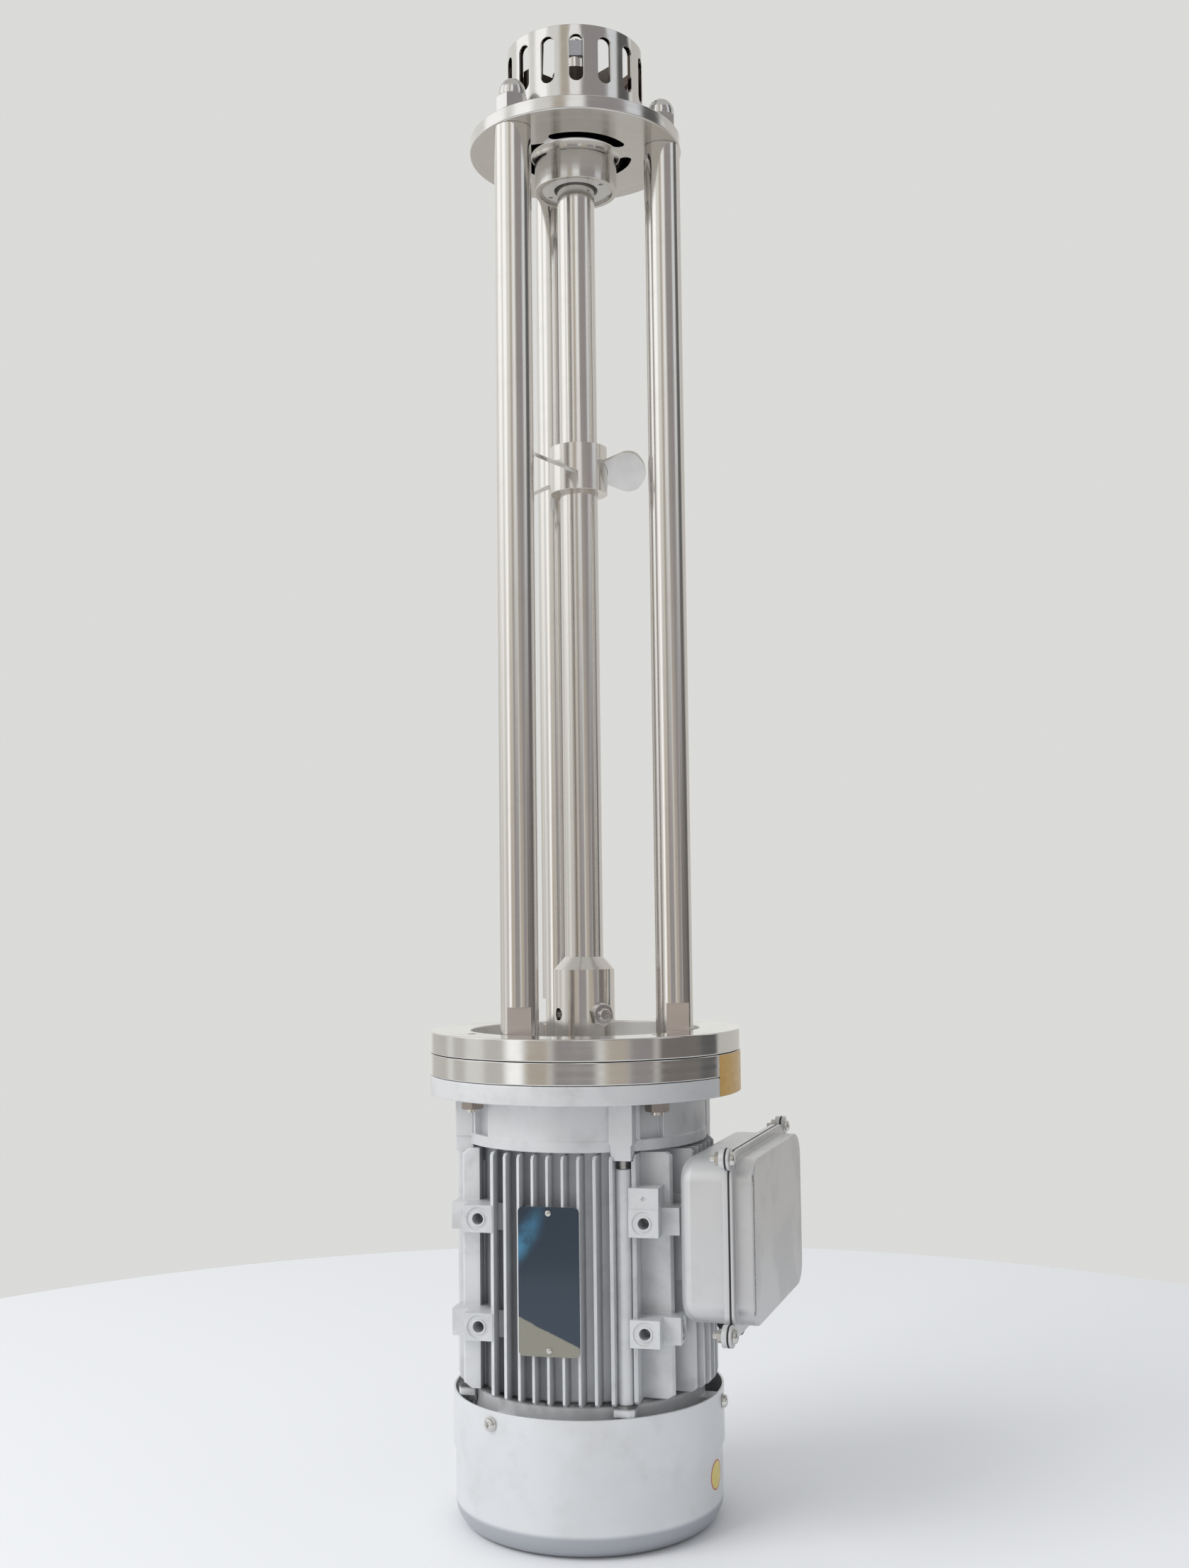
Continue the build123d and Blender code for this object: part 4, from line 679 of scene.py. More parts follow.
def cast_silver(name, valley=None, grease=None):
    """Silver paint on a sandy casting, with painted shade and dirt in the valleys inside a radius, and
    grease between two heights.
    """
    finish = Finish(name, casting_color, metallic=0.35, roughness=0.5)
    tree = finish.tree
    skin = finish.pattern(cast_grain)
    finish.vary("Roughness", skin["Mask"], 0.42, 0.56)
    finish.bump(skin["Height"], depth=0.11, strength=0.6)
    finish.scale_color(skin["Mask"], 0.9)
    # The valleys inside a radius get painted shade with some dirt, heavier on the left side.
    if valley is not None:
        depth = between(tree, finish.radius(), *valley, 1.0, 0.0)
        side = between(tree, finish.part("X"), *valley_shade_sides, 0.85, 0.3)
        finish.tint(calculate(tree, "MULTIPLY", depth, side), valley_shade_and_dirt)
    if grease is not None:
        drawn_up = stretched(tree, finish.place, *streaks_each_way)
        streaks = noise(tree, drawn_up, 1.0, detail=4.0, roughness=0.6)
        smeared = between(tree, streaks, 0.3, 0.5, 0.55, 1.0)
        wet = calculate(tree, "MULTIPLY", between(tree, finish.part("Z"), *grease), smeared)
        finish.tint(wet, grease_color)
    dust = finish.pattern(soiling, Amount=0.5)
    finish.tint(dust["Mask"], casting_dust)
    return finish.material


frame_silver = cast_silver("frame_silver", valley=(0.0712, 0.0785))
shield_silver = cast_silver("shield_silver")
rear_silver = cast_silver("rear_silver", grease=(0.085, 0.0872))
print("finishes:", ", ".join(material.name for material in (frame_silver, shield_silver, rear_silver)))

# %% [markdown]
# The cowl and the terminal box are pressed from smooth sheet, under a satin film of the same kind of
# paint. The cowl's bowl is darker towards the bottom, and a broken line of painted shade lies in the
# crease beside the lid's face. A separate material for each of those places would leave a hard seam, so
# they are soft masks on one shader.

# %% Painted sheet
box_turn = -5
bowl_color = (0.33, 0.345, 0.38)
crease_shade_color = (0.16, 0.15, 0.16)
crease_reach = (0.0003, 0.0009)
crease_specks = 900.0
lid_starts = 0.118
sheet_dust = (0.32, 0.31, 0.30)


def painted_crease_line(finish, crease):
    """A broken line of painted shade at one distance to either side of the lid's middle."""
    tree = finish.tree
    lean = calculate(tree, "MULTIPLY", finish.part("X"), -math.tan(math.radians(box_turn)))
    aside = calculate(tree, "ABSOLUTE", calculate(tree, "ADD", finish.part("Y"), lean))
    off = calculate(tree, "ABSOLUTE", calculate(tree, "SUBTRACT", aside, crease))
    specks = noise(tree, finish.place, crease_specks, roughness=0.6)
    line = calculate(tree, "MULTIPLY", between(tree, off, *crease_reach, 0.8, 0.0),
                     between(tree, specks, 0.38, 0.55, 0.35, 1.0))
    return calculate(tree, "MULTIPLY", line, calculate(tree, "GREATER_THAN", finish.part("X"), lid_starts))


def sheet_silver(name, color=(0.74, 0.75, 0.765), bowl=None, crease=None):
    """Satin silver paint on pressed sheet, darker towards the bottom of a bowl, and with painted shade in a
    crease where it has them.
    """
    finish = Finish(name, color, metallic=0.5, roughness=0.34, Coat_Weight=0.08, Coat_Roughness=0.3)
    skin = finish.pattern(paint_skin)
    finish.vary("Roughness", skin["Mask"], 0.31, 0.41)
    finish.bump(skin["Height"], depth=0.009, strength=0.6)
    finish.scale_color(skin["Mask"], 0.95)
    # The bowl is painted darker towards the bottom.
    if bowl is not None:
        finish.tint(between(finish.tree, finish.part("Z"), *bowl, 0.8, 0.0), bowl_color)
    # A broken line of painted shade in the crease beside the lid's face.
    if crease is not None:
        finish.tint(painted_crease_line(finish, crease), crease_shade_color)
    dust = finish.pattern(soiling, Amount=0.3)
    finish.tint(dust["Mask"], sheet_dust)
    return finish.material


cowl_silver = sheet_silver("cowl_silver", bowl=(0.0125, 0.016))
box_silver = sheet_silver("box_silver", (0.64, 0.645, 0.655))
lid_silver = sheet_silver("lid_silver", (0.60, 0.60, 0.605), crease=0.0688)
print("finishes:", ", ".join(material.name for material in (cowl_silver, box_silver, lid_silver)))

# %% [markdown]
# What is left is small: zinc on the fasteners, dull where rain or hands have been, and the plastics,
# rubber, copper and iron inside the motor, which show only in other views or when a piece is taken off.
# Flat colours would do at this size, but a piece that is taken off is looked at closely, so each gets its
# own skin.

# %% Zinc, mouldings and inner metals
def plated_zinc(name, color=(0.62, 0.60, 0.57), roughness=0.26):
    """Zinc on small fasteners."""
    finish = Finish(name, color, 1.0, roughness)
    skin = finish.pattern(paint_skin, Pebbles=1500.0)
    finish.vary("Roughness", skin["Height"], roughness - 0.05, roughness + 0.1)
    finish.scale_color(skin["Mask"], 0.8)
    finish.bump(skin["Height"], depth=0.01, strength=0.4)
    return finish.material


def dark_moulding(name, color, roughness):
    """Moulded plastic or rubber with a fine skin."""
    finish = Finish(name, color, metallic=0.0, roughness=roughness)
    skin = finish.pattern(paint_skin, Pebbles=900.0)
    finish.vary("Roughness", skin["Mask"], roughness - 0.06, roughness + 0.08)
    finish.bump(skin["Height"], depth=0.02, strength=0.5)
    finish.scale_color(skin["Mask"], 1.25)
    return finish.material


def inner_metal(name, color, roughness):
    """A plain inner metal, hidden in use."""
    finish = Finish(name, color, 1.0, roughness)
    marks = finish.pattern(lathe_marks, Fineness=1600.0)
    finish.vary("Roughness", marks["Mask"], roughness - 0.05, roughness + 0.1, 0.1, 0.45)
    finish.scale_color(marks["Mask"], 0.8)
    finish.bump(marks["Height"], depth=0.01, strength=0.5)
    return finish.material


inner_metals = {
    "laminations": ((0.20, 0.20, 0.21), 0.5),
    "copper": ((0.70, 0.30, 0.14), 0.35),
    "bearing_steel": ((0.55, 0.55, 0.55), 0.2),
}
mouldings = {
    "black_rubber": ((0.02, 0.02, 0.02), 0.65),
    "fan_plastic": ((0.035, 0.035, 0.038), 0.5),
    "bush_plastic": ((0.09, 0.085, 0.08), 0.4),
    "can_plastic": ((0.05, 0.05, 0.055), 0.42),
    "board_plastic": ((0.16, 0.07, 0.04), 0.35),
    "gland_plastic": ((0.03, 0.03, 0.03), 0.4),
    "plate_print": ((0.012, 0.04, 0.075), 0.25),
}
finishes = {
    "polished_stainless": bar_steel,
    "turned_stainless": ring_steel,
    "cast_aluminium": shield_silver,
    "silver_sheet": box_silver,
    "zinc_plated": plated_zinc("plated_zinc"),
}
finishes.update({name: inner_metal(name, *look) for name, look in inner_metals.items()})
finishes.update({name: dark_moulding(name, *look) for name, look in mouldings.items()})
dull_zinc = plated_zinc("dull_zinc", color=(0.36, 0.32, 0.29), roughness=0.34)
bright_zinc = plated_zinc("bright_zinc", color=(0.74, 0.73, 0.71), roughness=0.2)
# The rotor nut inside the cage gets a darker zinc: painted shade.
shaded_nut = plated_zinc("shaded_nut", color=(0.36, 0.36, 0.38), roughness=0.2)
print("slots with a finish:", len(finishes))

# %% [markdown]
# Each piece of the frame names the material slot it was designed with, and that gives its finish. Some
# pieces of one slot look different on the real mixer: the cage from the ring, the lid from its box. Those
# are named one by one. Each rod gets its own polished steel, because its flats are found by the distance
# from its own axis.

# %% Which piece has which finish
own_finish = {
    "motor_frame": frame_silver,
    "rear_end_shield": rear_silver,
    "fan_cowl": cowl_silver,
    "terminal_box_lid": lid_silver,
    "stator_cage": cage_steel,
    "head_plate": head_steel,
    "propeller_blades": blade_steel,
    "rotor_head": rotor_shade_steel,
    "flange_nuts": dull_zinc,
    "tie_bolts": bright_zinc,
    "rotor_nut": shaded_nut,
    "nameplate_rivets": bright_zinc,
}
rod_centre = 0.059
rod_places = {
    "support_rod_right": (0, -66.5),
    "support_rod_left": (-120, -76.5),
    "support_rod_back": (120, -166.5),
}


def outward(degrees):
    """The level direction away from the upright axis; 0 is towards the terminal box."""
    turn = math.radians(degrees)
    return Vector((math.cos(turn), math.sin(turn), 0))


for name, (place, facing) in rod_places.items():
    steel_name = name.replace("support_rod", "rod_steel")
    own_finish[name] = polished_bar(steel_name, rod_centre * outward(place), facing)

slot_of = {row["node"]: row["material_slot"] for row in frame["record"]["subparts"]}
finish_of = {name: own_finish.get(name, finishes[slot]) for name, slot in slot_of.items()}
for name, finish in finish_of.items():
    nodes[name].data.materials.clear()
    nodes[name].data.materials.append(finish)
print("materials:", len(bpy.data.materials), "on", len(finish_of), "pieces")

# %% [markdown]
# Most CAD pieces have the right form already, but their edges are perfectly sharp, and no real edge is. A
# casting has a soft edge of half a millimetre, a turned ring a chamfer of a few tenths. Each of those
# edges catches a thin line of light, which is most of what makes a picture of metal believable. The edges
# could be rounded in the shader, but then the outline would stay sharp. So a piece is copied, its loose
# triangles are merged, and a Bevel modifier rounds every edge that is sharper than a chosen angle.

# %% Helpers for softened copies
sharp_angle = math.radians(32)
smooth_angle = math.radians(50)
flat_angle = math.radians(0.6)
merge_reach = 0.00001
face_weight = 80


def pick(piece):
    """Select one piece and nothing else, and make it the active one."""
    bpy.ops.object.select_all(action="DESELECT")
    piece.select_set(True)
    bpy.context.view_layer.objects.active = piece


def apply_modifier(piece, kind, **settings):
    """Add a modifier, set it and apply it."""
    pick(piece)
    modifier = piece.modifiers.new(kind.title(), kind)
    for name, value in settings.items():
        setattr(modifier, name, value)
    bpy.ops.object.modifier_apply(modifier=modifier.name)


def shade_smooth(piece):
    """Shade smooth, with the sharper edges kept crisp."""
    pick(piece)
    bpy.ops.object.shade_smooth_by_angle(angle=smooth_angle)


def soften(piece, width, steps=2):
    """Round the sharp edges by a width in millimetres, and shade the rest smooth."""
    apply_modifier(piece, "BEVEL", width=width * MM, segments=steps, limit_method="ANGLE",
                   angle_limit=sharp_angle, use_clamp_overlap=False, miter_outer="MITER_ARC")
    shade_smooth(piece)
    apply_modifier(piece, "WEIGHTED_NORMAL", keep_sharp=True, weight=face_weight)


def copy_of(node):
    """A clean copy of a CAD piece: merged, and with its flat faces in one piece each."""
    piece = bpy.data.objects.new(node + "_dressed", nodes[node].data.copy())
    scene.collection.objects.link(piece)
    pick(piece)
    bpy.ops.object.mode_set(mode="EDIT")
    bpy.ops.mesh.select_all(action="SELECT")
    bpy.ops.mesh.remove_doubles(threshold=merge_reach)
    bpy.ops.mesh.dissolve_limited(angle_limit=flat_angle)
    bpy.ops.object.mode_set(mode="OBJECT")
    return piece


def dress(piece, finish, node):
    """Give a new piece its finish, and let it stand for a CAD piece on the body that carries it."""
    piece.data.materials.clear()
    piece.data.materials.append(finish)
    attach(piece, nodes[node]["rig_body"])
    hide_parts(node)


def soft_copy(node, width, finish):
    """The usual case: copy, soften and dress one CAD piece."""
    piece = copy_of(node)
    soften(piece, width)
    dress(piece, finish, node)
    print(node, len(piece.data.polygons), "faces")


print("edges sharper than", round(math.degrees(sharp_angle)), "degrees are rounded")

# %% [markdown]
# The castings and the pressed sheet come first. Their edges are rounded by the mould and the press, so
# they get the widest rounding. One width for all would be simpler, but the fins are thin and would lose
# their shape.

# %% Castings and pressed sheet, with their rounding in millimetres
soft_edges = {
    "motor_frame": 0.3,
    "drive_end_flange": 0.5,
    "rear_end_shield": 0.5,
    "fan_cowl": 0.4,
    "terminal_box_base": 0.5,
    "terminal_box_lid": 0.5,
}
for node, width in soft_edges.items():
    soft_copy(node, width, finish_of[node])

# %% [markdown]
# On turned and milled steel the edge is broken with a file or a small chamfer, so the line of light is
# thinner and brighter. A chamfer in the solids would do too, but it would make the CAD pieces heavier for
# something that only light shows.

# %% Stainless pieces and nuts, with their rounding in millimetres
turned_edges = {
    "seal_plate": 0.3,
    "mounting_ring": 0.35,
    "head_plate": 0.3,
    "stator_cage": 0.35,
    "propeller_hub": 0.3,
    "propeller_blades": 0.4,
    "rotor_nut": 0.3,
    "bush_cover": 0.2,
    "flange_nuts": 0.2,
    "tie_bolts": 0.2,
}
for node, width in turned_edges.items():
    soft_copy(node, width, finish_of[node])

# %% [markdown]
# Screws are the one thing that a viewer knows by heart, so they are modelled for real. A pan head is a
# low dome over a washer, with a cross pressed into it. The Spin operator could turn its profile, but it
# leaves a seam, so a circle is extruded and resized step by step along the profile instead. The cross is
# two tapered bars that are cut out of the dome. The screw is modelled once, standing at the origin, and
# each copy gets its own mesh and place.

# %% Helpers for turned pieces and copies
def lathe(name, profile, sides=48):
    """Turn a profile of (radius, height) pairs in millimetres round Z, closed flat at both ends."""
    bpy.ops.object.select_all(action="DESELECT")
    first_radius, first_height = profile[0]
    bpy.ops.mesh.primitive_circle_add(vertices=sides, radius=first_radius * MM, fill_type="NGON",
                                      location=(0, 0, first_height * MM))
    piece = bpy.context.object
    piece.name = name
    bpy.ops.object.transform_apply(location=True)
    bpy.ops.object.mode_set(mode="EDIT")
    bpy.ops.mesh.select_all(action="SELECT")
    for (radius, height), (next_radius, next_height) in zip(profile, profile[1:]):
        rise = (0, 0, (next_height - height) * MM)
        bpy.ops.mesh.extrude_region_move(TRANSFORM_OT_translate={"value": rise})
        share = next_radius / radius
        bpy.ops.transform.resize(value=(share, share, 1), center_override=(0, 0, next_height * MM))
    bpy.ops.mesh.select_all(action="SELECT")
    bpy.ops.mesh.remove_doubles(threshold=merge_reach)
    bpy.ops.mesh.normals_make_consistent(inside=False)
    bpy.ops.object.mode_set(mode="OBJECT")
    return piece


def change_by(piece, other, operation):
    """Cut, join or intersect a shape with another one, and throw the other one away."""
    apply_modifier(piece, "BOOLEAN", operation=operation, solver="EXACT", object=other)
    bpy.data.objects.remove(other)


def settle(piece):
    """Write a piece's place, turn and size into its mesh."""
    pick(piece)
    bpy.ops.object.transform_apply(location=True, rotation=True, scale=True)


def placed_copy(source, name, place, direction, spin=0.0):
    """A copy with its own mesh, standing at a place in metres along a direction, and spun in degrees."""
    piece = bpy.data.objects.new(name, source.data.copy())
    scene.collection.objects.link(piece)
    turned = direction.to_track_quat("Z", "Y").to_matrix().to_4x4()
    spun = Matrix.Rotation(math.radians(spin), 4, "Z")
    piece.matrix_world = Matrix.Translation(place) @ turned @ spun
    settle(piece)
    return piece


print("points closer than", merge_reach, "m are merged")

# %% One pan head screw
tail_radius = 2.0
dome_steps = 7
cross_length = 1.15
cross_width = 0.24
cross_depth = 0.62
cross_taper = (0.45, 0.7, 1)


def tapered_bar(length, width, depth, top):
    """A bar that narrows downwards, for half of a cross recess."""
    bpy.ops.object.select_all(action="DESELECT")
    bpy.ops.mesh.primitive_cube_add(size=1, location=(0, 0, top * MM))
    bar = bpy.context.object
    bpy.ops.transform.resize(value=(length * MM, width * MM, 2 * depth * MM))
    settle(bar)
    bpy.ops.object.mode_set(mode="EDIT")
    bpy.ops.mesh.select_all(action="DESELECT")
    bpy.ops.object.mode_set(mode="OBJECT")
    for vertex in bar.data.vertices:
        vertex.select = vertex.co.z < top * MM
    bpy.ops.object.mode_set(mode="EDIT")
    bpy.ops.transform.resize(value=cross_taper, center_override=(0, 0, (top - depth) * MM))
    bpy.ops.object.mode_set(mode="OBJECT")
    return bar


def pan_screw(name, head_radius, head_height, washer_radius, washer_height, tail):
    """A domed head with a cross, over a washer and a short shank; all sizes in millimetres."""
    profile = [(tail_radius, -tail), (tail_radius, 0), (washer_radius, 0.0), (washer_radius, washer_height),
               (head_radius, washer_height)]
    for step in range(dome_steps + 1):
        turn = math.radians(90 * step / dome_steps)
        rise = washer_height + head_height * (0.3 + 0.7 * math.sin(turn))
        profile.append((head_radius * (0.35 + 0.65 * math.cos(turn)), rise))
    screw = lathe(name, profile)
    bar_size = (head_radius * cross_length, head_radius * cross_width, head_height * cross_depth)
    for turn in (0, 90):
        bar = tapered_bar(*bar_size, washer_height + head_height)
        pick(bar)
        bpy.ops.transform.rotate(value=math.radians(turn), orient_axis="Z", center_override=(0, 0, 0))
        settle(bar)
        change_by(screw, bar, "DIFFERENCE")
    soften(screw, 0.12, 1)
    return screw


cowl_screw = pan_screw("cowl_screw", head_radius=4.0, head_height=2.4, washer_radius=4.6, washer_height=0.8,
                       tail=10.0)
box_screw = pan_screw("box_screw", head_radius=3.9, head_height=2.3, washer_radius=4.6, washer_height=0.3,
                      tail=12.2)
print("screws:", len(cowl_screw.data.polygons), "and", len(box_screw.data.polygons), "faces")

# %% Screws in the cowl
cowl_rim = 0.086
cowl_screw_height = 0.074
cowl_screw_turns = (0, 120, -120)
for number, turn in enumerate(cowl_screw_turns):
    out = outward(turn)
    place = cowl_rim * out + Vector((0, 0, cowl_screw_height))
    screw = placed_copy(cowl_screw, "cowl_screw_" + str(number + 1), place, out, spin=25 + 40 * number)
    dress(screw, bright_zinc, "cowl_screws")
bpy.data.objects.remove(cowl_screw)
print("screws in the cowl:", len(cowl_screw_turns))

# %% Screws in the lid
box_along = outward(box_turn + 90)
box_middle = Vector((0, 0, 0.1857))
lid_rim_face = 0.1143
ear_across = 0.0775
ear_up = 0.0505
ears = [(across, up) for across in (-ear_across, ear_across) for up in (-ear_up, ear_up)]
for number, (across, up) in enumerate(ears, 1):
    place = box_middle + lid_rim_face * outward(box_turn) + across * box_along + Vector((0, 0, up))
    screw = placed_copy(box_screw, "box_screw_" + str(number), place, outward(box_turn), spin=17 * number)
    dress(screw, bright_zinc, "box_screws")
bpy.data.objects.remove(box_screw)
print("screws in the lid:", len(ears))

# %% [markdown]
# A nut is a hexagon whose corners were turned down to a cone. Its corners could be bevelled one by one,
# but a Boolean that keeps what a hexagonal bar and a cone have in common gives the curved edges of a real
# nut. The rods end in tall domed nuts, polished almost like mirrors. The sleeve is locked by a set screw
# whose hexagon socket shows as a dark hole inside its own lock nut.

# %% Helpers for nuts
nut_face = 0.47
cone_foot = 1.02
nut_steel = plated_zinc("nut_steel", color=(0.82, 0.81, 0.80), roughness=0.10)


def hex_nut(name, flats, height, chamfer):
    """A hexagonal nut with the corners of its upper face turned down to a cone; sizes in millimetres."""
    corner = flats / 2 / math.cos(math.radians(30))
    nut = lathe(name, [(corner, 0), (corner, height)], 6)
    wide = corner * cone_foot
    cone = lathe(name + "_cone", [(wide, -1), (wide, height - chamfer), (flats * nut_face, height)])
    change_by(nut, cone, "INTERSECT")
    return nut


def heights_of(node):
    """The lowest and highest place of a CAD piece."""
    heights = [vertex.co.z for vertex in nodes[node].data.vertices]
    return min(heights), max(heights)


print("nuts are made of", nut_steel.name)

# %% Domed nuts on the rods
dome_radius = 8.8
dome_height = 22.5
dome_stretch = dome_radius * 1.05
dome_rings = 8
# A dome of a whole number of rings would end in a point, so the last ring stops a little before the top.
rings_to_top = 8.3
nut_spin = 12
domed_nut = hex_nut("domed_nut", flats=18.0, height=10.5, chamfer=1.3)
profile = [(dome_radius, 2.0), (dome_radius, dome_height - dome_stretch)]
for ring in range(1, dome_rings + 1):
    turn = math.radians(90 * ring / rings_to_top)
    profile.append((dome_radius * math.cos(turn), dome_height - dome_stretch * (1 - math.sin(turn))))
change_by(domed_nut, lathe("dome", profile), "UNION")
soften(domed_nut, 0.2)
nut_seat = Vector((0, 0, heights_of("cap_nuts")[0]))
for name, (place, facing) in rod_places.items():
    seat = rod_centre * outward(place) + nut_seat
    nut_name = name.replace("support_rod", "domed_nut")
    piece = placed_copy(domed_nut, nut_name, seat, Vector((0, 0, 1)), spin=facing + nut_spin)
    dress(piece, nut_steel, "cap_nuts")
bpy.data.objects.remove(domed_nut)
print("domed nuts stand at", round(nut_seat.z, 4))

# %% Set screw and its lock nut in the sleeve
sleeve_radius = 0.0187
screw_out = outward(-46.5)
screw_middle = Vector((0, 0, sum(heights_of("coupling_lock_nut")) / 2))
lock_nut = hex_nut("lock_nut", flats=13.5, height=5.6, chamfer=0.9)
socket_screw = lathe("socket_screw", [(4.0, -5), (4.0, 7.0), (3.3, 7.7)])
change_by(socket_screw, lathe("socket", [(2.5, 4.2), (2.5, 9)], 6), "DIFFERENCE")
for master, node in ((lock_nut, "coupling_lock_nut"), (socket_screw, "coupling_set_screw")):
    soften(master, 0.15)
    place = screw_middle + sleeve_radius * screw_out
    piece = placed_copy(master, master.name + "_placed", place, screw_out, spin=nut_spin)
    dress(piece, nut_steel, node)
    bpy.data.objects.remove(master)
print("lock nut at height", round(screw_middle.z, 4))

# %% [markdown]
# The nameplate is dark printed aluminium under a clear coat, with a paler blue leaning patch, and one
# lower corner where the print is gone and dull metal shows. Three pieces with three materials would show
# hard edges between them. So both are masks on one shader: the patch is a soft leaning stripe, and the
# worn corner lies below a slanting line that a little noise makes uneven. Two domed rivets hold the
# plate.

# %% Nameplate
plate_left = -0.02275
plate_width = 0.0375
plate_top = 0.205
plate_height = 0.0875
print_color = (0.010, 0.026, 0.048)
pale_patch_color = (0.045, 0.20, 0.34)
bare_color = (0.31, 0.30, 0.25)
patch_lean = 1.9
patch_middle = 0.52
patch_reach = 0.34
worn_rise = 0.2
worn_raggedness = 0.03
worn_line = (0.745, 0.76)
cloud_scale = 90.0
grain_each_way = (900, 900, 60)


def leaning_pale_patch(tree, across, down, cloud):
    """A mask of a leaning soft stripe that fades out towards the right."""
    lean = calculate(tree, "ADD", across, calculate(tree, "MULTIPLY", down, patch_lean))
    off = calculate(tree, "ABSOLUTE", calculate(tree, "SUBTRACT", lean, patch_middle))
    patch = calculate(tree, "MULTIPLY", between(tree, off, 0.0, patch_reach, 1.0, 0.0),
                      between(tree, across, 0.5, 0.08))
    return calculate(tree, "MULTIPLY", patch, between(tree, cloud, 0.35, 0.6, 0.35, 1.0))


def worn_corner(tree, across, down, cloud):
    """A mask of what lies below a slanting, slightly uneven line."""
    drop = calculate(tree, "SUBTRACT", down, calculate(tree, "MULTIPLY", across, worn_rise))
    drop = calculate(tree, "ADD", drop, calculate(tree, "MULTIPLY", cloud, worn_raggedness))
    return between(tree, drop, *worn_line)


def printed_plate(name):
    """Dark blue print with a paler blue patch and a worn corner."""
    finish = Finish(name, print_color, metallic=0.1, roughness=0.16, Coat_Weight=0.6, Coat_Roughness=0.08)
    tree = finish.tree
    across = between(tree, finish.part("X"), plate_left, plate_left + plate_width, way="LINEAR")
    down = between(tree, finish.part("Z"), plate_top, plate_top - plate_height, way="LINEAR")
    cloud = noise(tree, finish.place, cloud_scale, detail=4.0, roughness=0.6)
    brushed = stretched(tree, finish.place, *grain_each_way)
    grain = noise(tree, brushed, 1.0, detail=3.0, roughness=0.6)
    # A paler blue leaning patch on the print.
    finish.tint(leaning_pale_patch(tree, across, down, cloud), pale_patch_color)
    worn = worn_corner(tree, across, down, cloud)
    finish.tint(worn, bare_color)
    finish.set("Metallic", between(tree, worn, 0.0, 1.0, 0.1, 0.75))
    finish.set("Roughness", calculate(tree, "ADD", calculate(tree, "MULTIPLY", worn, 0.2),
                                      between(tree, grain, 0.3, 0.7, 0.12, 0.2)))
    finish.bump(grain, depth=0.004, strength=0.4)
    return finish.material


soft_copy("nameplate", 0.2, printed_plate("printed_plate"))

# %% Rivets
rivet_heights = (0.12110, 0.20140)
rivet_aside = -0.004
plate_face = -0.0833
rivet_rings = 6
rivet_sides = 32


def dome_rivet(name, radius, height, shank, length):
    """A round head, flattened a little on top, on a shank; all sizes in millimetres."""
    profile = [(shank, -length), (shank, 0), (radius, 0), (radius, height * 0.15)]
    for ring in range(1, rivet_rings + 1):
        turn = math.radians(90 / rivet_rings * ring)
        profile.append((radius * (0.3 + 0.7 * math.cos(turn)), height * (0.15 + 0.85 * math.sin(turn))))
    return lathe(name, profile, rivet_sides)


rivet = dome_rivet("rivet", radius=1.9, height=1.0, shank=1.2, length=5.0)
shade_smooth(rivet)
for number, height in enumerate(rivet_heights, 1):
    place = Vector((rivet_aside, plate_face, height))
    piece = placed_copy(rivet, "nameplate_rivet_" + str(number), place, Vector((0, -1, 0)))
    dress(piece, bright_zinc, "nameplate_rivets")
bpy.data.objects.remove(rivet)
print("rivets at", rivet_heights)

# %% [markdown]
# Two stickers give the picture its only warm colours: an amber one that wraps the edge of the flange, and
# a small round one on the cowl. A flat sheet could be wrapped on with a Shrinkwrap modifier, but its edge
# would ripple. A sticker is a sheet a tenth of a millimetre thick that follows a round wall, so it is cut
# out of a thin tube: the amber one by two planes through the axis, the round one by a cylinder.

# %% Helpers for stickers
paper_thickness = 0.12
tube_sides = 360
paper_grain = 260.0
rim_softness = 0.0003


def paper(name, color, centre=(0, 0, 0), rim=None, rim_color=None):
    """Glossy paper, with another colour beyond a distance from its middle where it has a rim."""
    finish = Finish(name, color, metallic=0.0, roughness=0.3, centre=centre,
                    Coat_Weight=0.3, Coat_Roughness=0.15)
    tree = finish.tree
    cloud = noise(tree, finish.place, paper_grain, detail=4.0, roughness=0.6)
    finish.scale_color(between(tree, cloud, 0.45, 0.75, 0.0, 0.6), 0.82)
    finish.vary("Roughness", cloud, 0.24, 0.4)
    finish.bump(cloud, depth=0.02, strength=0.4)
    if rim is not None:
        distance = add_node(tree, "ShaderNodeVectorMath", operation="LENGTH")
        feed(tree, distance.inputs[0], finish.place)
        finish.tint(between(tree, distance.outputs["Value"], rim - rim_softness, rim), rim_color)
    return finish.material


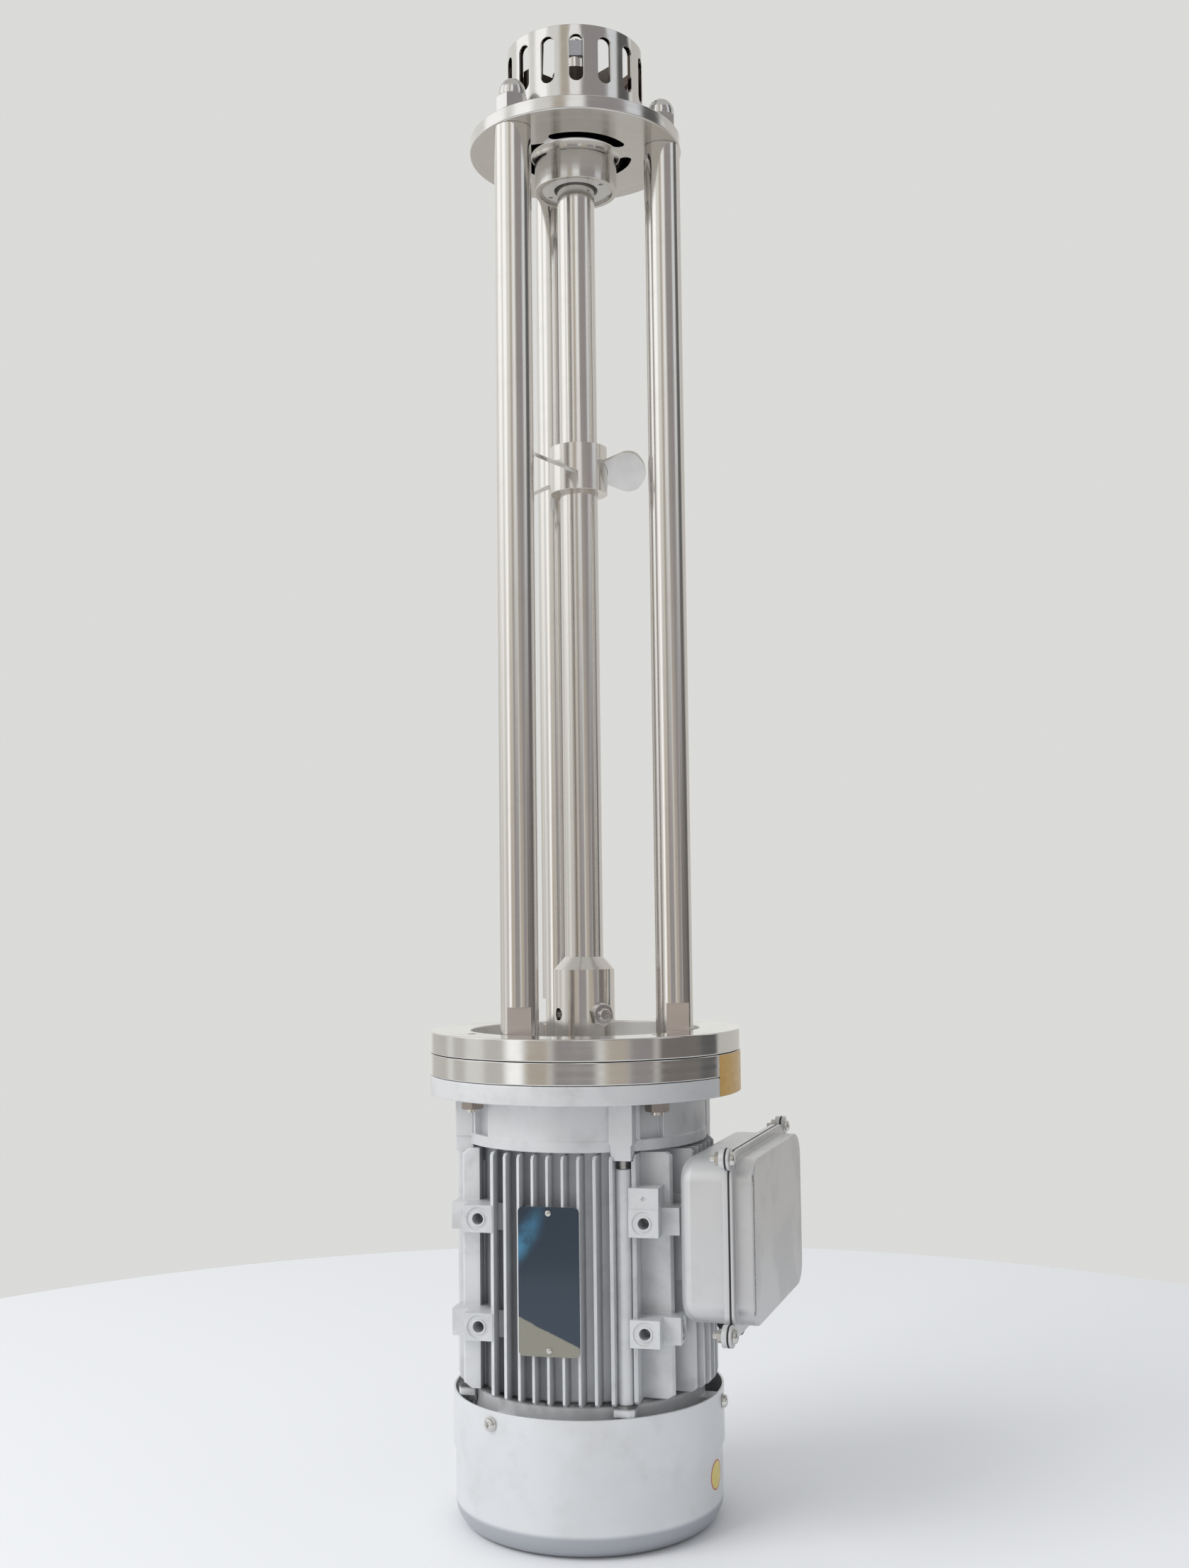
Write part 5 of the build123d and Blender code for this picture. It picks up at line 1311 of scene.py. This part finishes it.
def thin_tube(name, radius, low, high):
    """A tube with a wall of paper that grows outwards from a radius, all in millimetres."""
    bpy.ops.object.select_all(action="DESELECT")
    bpy.ops.mesh.primitive_cylinder_add(vertices=tube_sides, radius=radius * MM, depth=(high - low) * MM,
                                        end_fill_type="NOTHING", location=(0, 0, (high + low) / 2 * MM))
    tube = bpy.context.object
    tube.name = name
    bpy.ops.object.transform_apply(location=True)
    apply_modifier(tube, "SOLIDIFY", thickness=paper_thickness * MM, offset=1.0)
    return tube


def keep_sector(piece, start, end):
    """Keep the part of a round piece between two directions in degrees, and close the cuts."""
    pick(piece)
    for turn, side in ((start, 1), (end, -1)):
        angle = math.radians(turn)
        normal = (side * math.sin(angle), -side * math.cos(angle), 0)
        bpy.ops.object.mode_set(mode="EDIT")
        bpy.ops.mesh.select_all(action="SELECT")
        bpy.ops.mesh.bisect(plane_co=(0, 0, 0), plane_no=normal, clear_outer=True, use_fill=True)
        bpy.ops.object.mode_set(mode="OBJECT")


def stick(sticker, look):
    """Give a sticker its paper, and let it ride on the housing."""
    sticker.data.materials.append(look)
    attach(sticker, "housing")
    print(sticker.name, len(sticker.data.polygons), "faces")


print("paper is", paper_thickness, "mm thick")

# %% The amber sticker round the flange
amber = paper("amber_paper", (0.62, 0.36, 0.07))
flange_sticker = thin_tube("flange_sticker", 100.0, 266.4, 291.6)
keep_sector(flange_sticker, -21, 8.5)
soften(flange_sticker, 0.04, 1)
stick(flange_sticker, amber)

# %% The round sticker on the cowl
spot_out = outward(-9)
spot_depth = 0.0846
spot_height = 0.033
spot_radius = 0.009
spot_middle = spot_depth * spot_out + Vector((0, 0, spot_height))
yellow = paper("yellow_paper", (0.72, 0.58, 0.10), spot_middle, rim=0.0082, rim_color=(0.50, 0.12, 0.05))
cowl_sticker = thin_tube("cowl_sticker", 84.5, 20, 46)
bpy.ops.object.select_all(action="DESELECT")
bpy.ops.mesh.primitive_cylinder_add(vertices=64, radius=spot_radius, depth=0.04, location=spot_middle,
                                    rotation=spot_out.to_track_quat("Z", "Y").to_euler())
change_by(cowl_sticker, bpy.context.object, "INTERSECT")
stick(cowl_sticker, yellow)

# %% [markdown]
# The last cell only imports the json module.

# %% The json module
import json
